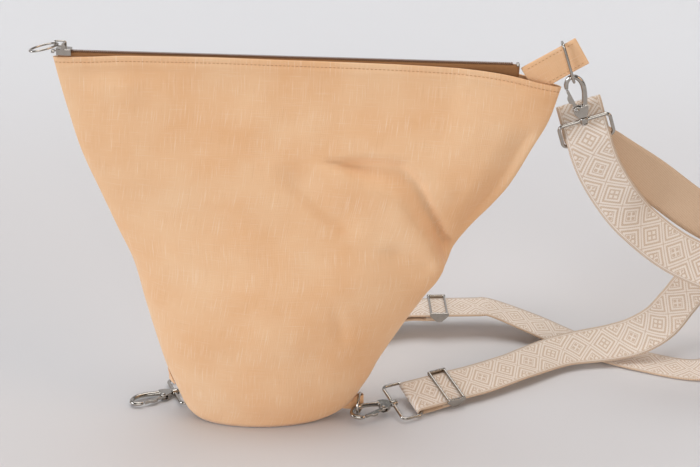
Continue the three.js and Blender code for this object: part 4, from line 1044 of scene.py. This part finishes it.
def strapKeys():  # place, way across or roll from upright
    keys, marks = [], {}
    w, low = strap["wrap"], -strap["middleBar"]
    top, glide = hookFrames["top"], glideFrames["b"]
    acrossA, acrossB = axisOf(hookFrames["a"], 1), -axisOf(hookFrames["b"], 1)
    acrossTop, flatB = -axisOf(top, 1), -axisOf(glide, 1)

    def lay(across, places):
        keys.extend((place, across, None) for place in places)

    def layRolled(side):
        for place, roll in zip(strap[f"side{side}"], strap[f"roll{side}"]):
            keys.append((Vector(place) * mm, None, roll))

    def wrapBar(name, across, flip):
        lay(across, [onHook(name, -w * sin(turn), -flip * w * cos(turn)) for turn in evenSteps(0, pi, 6)])

    lay(acrossA, [glideFrames["a"] @ Vector((x, 0, z)) for x, z in strap["tailPath"]])
    lay(acrossA, [onHook("a", k, -w) for k in (14, 10, 3)])
    marks["a"] = len(keys) - 1
    wrapBar("a", acrossA, 1)
    lay(acrossA, [onHook("a", k, w) for k in (3, 10, 24, 48, 72)])
    layRolled("A")
    lay(acrossTop, [top @ Vector((s, 0, m)) + Vector((right * mm, 0, 0)) for s, m, right in strap["approach"]])
    lay(acrossTop, [top @ Vector((s, 0, m)) for s, m in strap["fold"]])
    layRolled("B")
    main = [(glide @ Vector((x, 0, 0)), flatB, 0) for x in strap["straight"][:3]]  # place, across, gap to the tail
    main.append((glide @ Vector((-strap["tail"] - 0.7, 0, 0)), flatB, low))
    main.append((glide @ Vector((strap["straight"][3], 0, -0.4)), flatB, low))
    for i, place in enumerate(strap["behind"]):
        main.append((Vector(place) * mm, flatB.lerp(acrossB, 0.4) if i == 0 else acrossB, strap["behindGap"][i]))
    main.append((onHook("b", 54, w), acrossB, 4.4))
    main += [(onHook("b", k, w), acrossB, 2 * w) for k in (24, 10, 3)]
    keys += [(place, across, None) for place, across, _ in main]
    wrapBar("b", acrossB, -1)
    marks["b"] = len(keys)
    lower = [(place - Vector((0, 0, below * mm)), across, None) for place, across, below in reversed(main[3:])]
    keys += lower[:-1]
    lay(flatB, [glide @ Vector((x, 0, z)) for x, z in reversed(strap["tailPath"])])
    return keys, marks


def curveThrough(places):  # centripetal curve, as spot and way at a key and a share of the next step
    ends = [2 * places[0] - places[1]] + places + [2 * places[-1] - places[-2]]

    def at(i, t):
        p0, p1, p2, p3 = ends[i:i + 4]
        d0, d1, d2 = (max(1e-4, sqrt((b - a).length)) for a, b in ((p0, p1), (p1, p2), (p2, p3)))
        m1 = ((p1 - p0) / d0 - (p2 - p0) / (d0 + d1) + (p2 - p1) / d1) * d1
        m2 = ((p2 - p1) / d1 - (p3 - p1) / (d1 + d2) + (p3 - p2) / d2) * d1
        c2, c3 = -3 * p1 + 3 * p2 - 2 * m1 - m2, 2 * p1 - 2 * p2 + m1 + m2
        return p1 + t * (m1 + t * (c2 + t * c3)), (m1 + t * (2 * c2 + 3 * t * c3)).normalized()

    return at


def layWebbing():
    keys, marks = strapKeys()
    places = [place for place, *_ in keys]
    at = curveThrough(places)
    acrosses = []
    for i, (_, across, roll) in enumerate(keys):
        if across is None:
            way = at(min(i, len(keys) - 2), 0)[1]
            upright = (Vector((0, 0, 1)) - way * way.z).normalized()
            turn = radians(roll)
            across = upright * cos(turn) + way.cross(upright) * sin(turn)
        acrosses.append(across)
    stations, keyRow = [], []
    for i in range(len(keys) - 1):
        keyRow.append(len(stations))
        steps = max(2, ceil((places[i + 1] - places[i]).length / (strap["step"] * mm)))
        for k in range(steps + (1 if i == len(keys) - 2 else 0)):
            spot, way = at(i, k / steps)
            across = acrosses[i].lerp(acrosses[i + 1], k / steps)
            across = (across - way * across.dot(way)).normalized()
            run = stations[-1][2] + (spot - stations[-1][0]).length if stations else 0.0
            stations.append((spot, across, run, way.cross(across)))
    first, last = keyRow[marks["a"]], keyRow[marks["b"]]
    cuts = {"tail_a": ("tail_loop_a", stations[:first + 1]), "main": ("strap_webbing", stations[first:last + 1]),
            "tail_b": ("tail_loop_b", stations[last:])}
    pieces = {}
    half, columns = strap["wide"] / 2 * mm, strap["columns"]
    for name, (node, part) in cuts.items():
        whole = name == "main"

        def spotAt(column, row):
            spot, across, run, out = part[row]
            side = 1 - 2 * column / columns
            crown = strap["crown"] * (1 - side * side) * mm
            return spot + across * side * half + out * crown, (side * half, run)

        piece = layCloth(f"webbing_{name}", [jacquard, ribbedBack, ribbedBack], node, "webbing",
                         (columns, len(part) - 1), spotAt, strap["thick"] - (0 if whole else strap["thinner"]),
                         "bag" if whole else None, False, back=1, rim=2)
        pieces[name] = piece
    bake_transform(pieces["tail_a"])
    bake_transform(pieces["tail_b"])


glideCut = {"bar": 1.2, "reach": 8, "lap": 1.6, "foot": 2.6, "cheek": (19.35, 21.15), "sunk": 0.6}


def castGlides():
    low, high = strap["middleBar"], strap["outerBar"]
    reach, lap, foot, radius = (glideCut[key] for key in ("reach", "lap", "foot", "bar"))
    far = reach + lap
    cheek = roundCorners([(-far, high + lap, 1.4), (-far, high - 1.8, 1.2), (-foot, low - lap, 2.2),
                          (foot, low - lap, 2.2), (far, high - 1.8, 1.2), (far, high + lap, 1.4)], 5)
    half = glideCut["cheek"][0] + glideCut["sunk"]
    rod = [(-half, 0), (-half, radius), (half, radius), (half, 0)]
    for name, place in glideFrames.items():
        bm = bmesh.new()
        for side in (-1, 1):
            near, out = sorted(side * y for y in glideCut["cheek"])
            cutPlate(bm, cheek, near, out, moved(place, turn=pi / 2, axis="X"), 0.45)
        for x, z in ((-reach, high), (0, low), (reach, high)):
            turnProfile(bm, rod, moved(place, (x, 0, z), pi / 2), steps=20)
        makeMetal(f"adjuster_{name}_frame", bm, f"adjuster_{name}", f"glide_{name}", 0.25, 12)


layWebbing()
castGlides()
print("webbing laid")
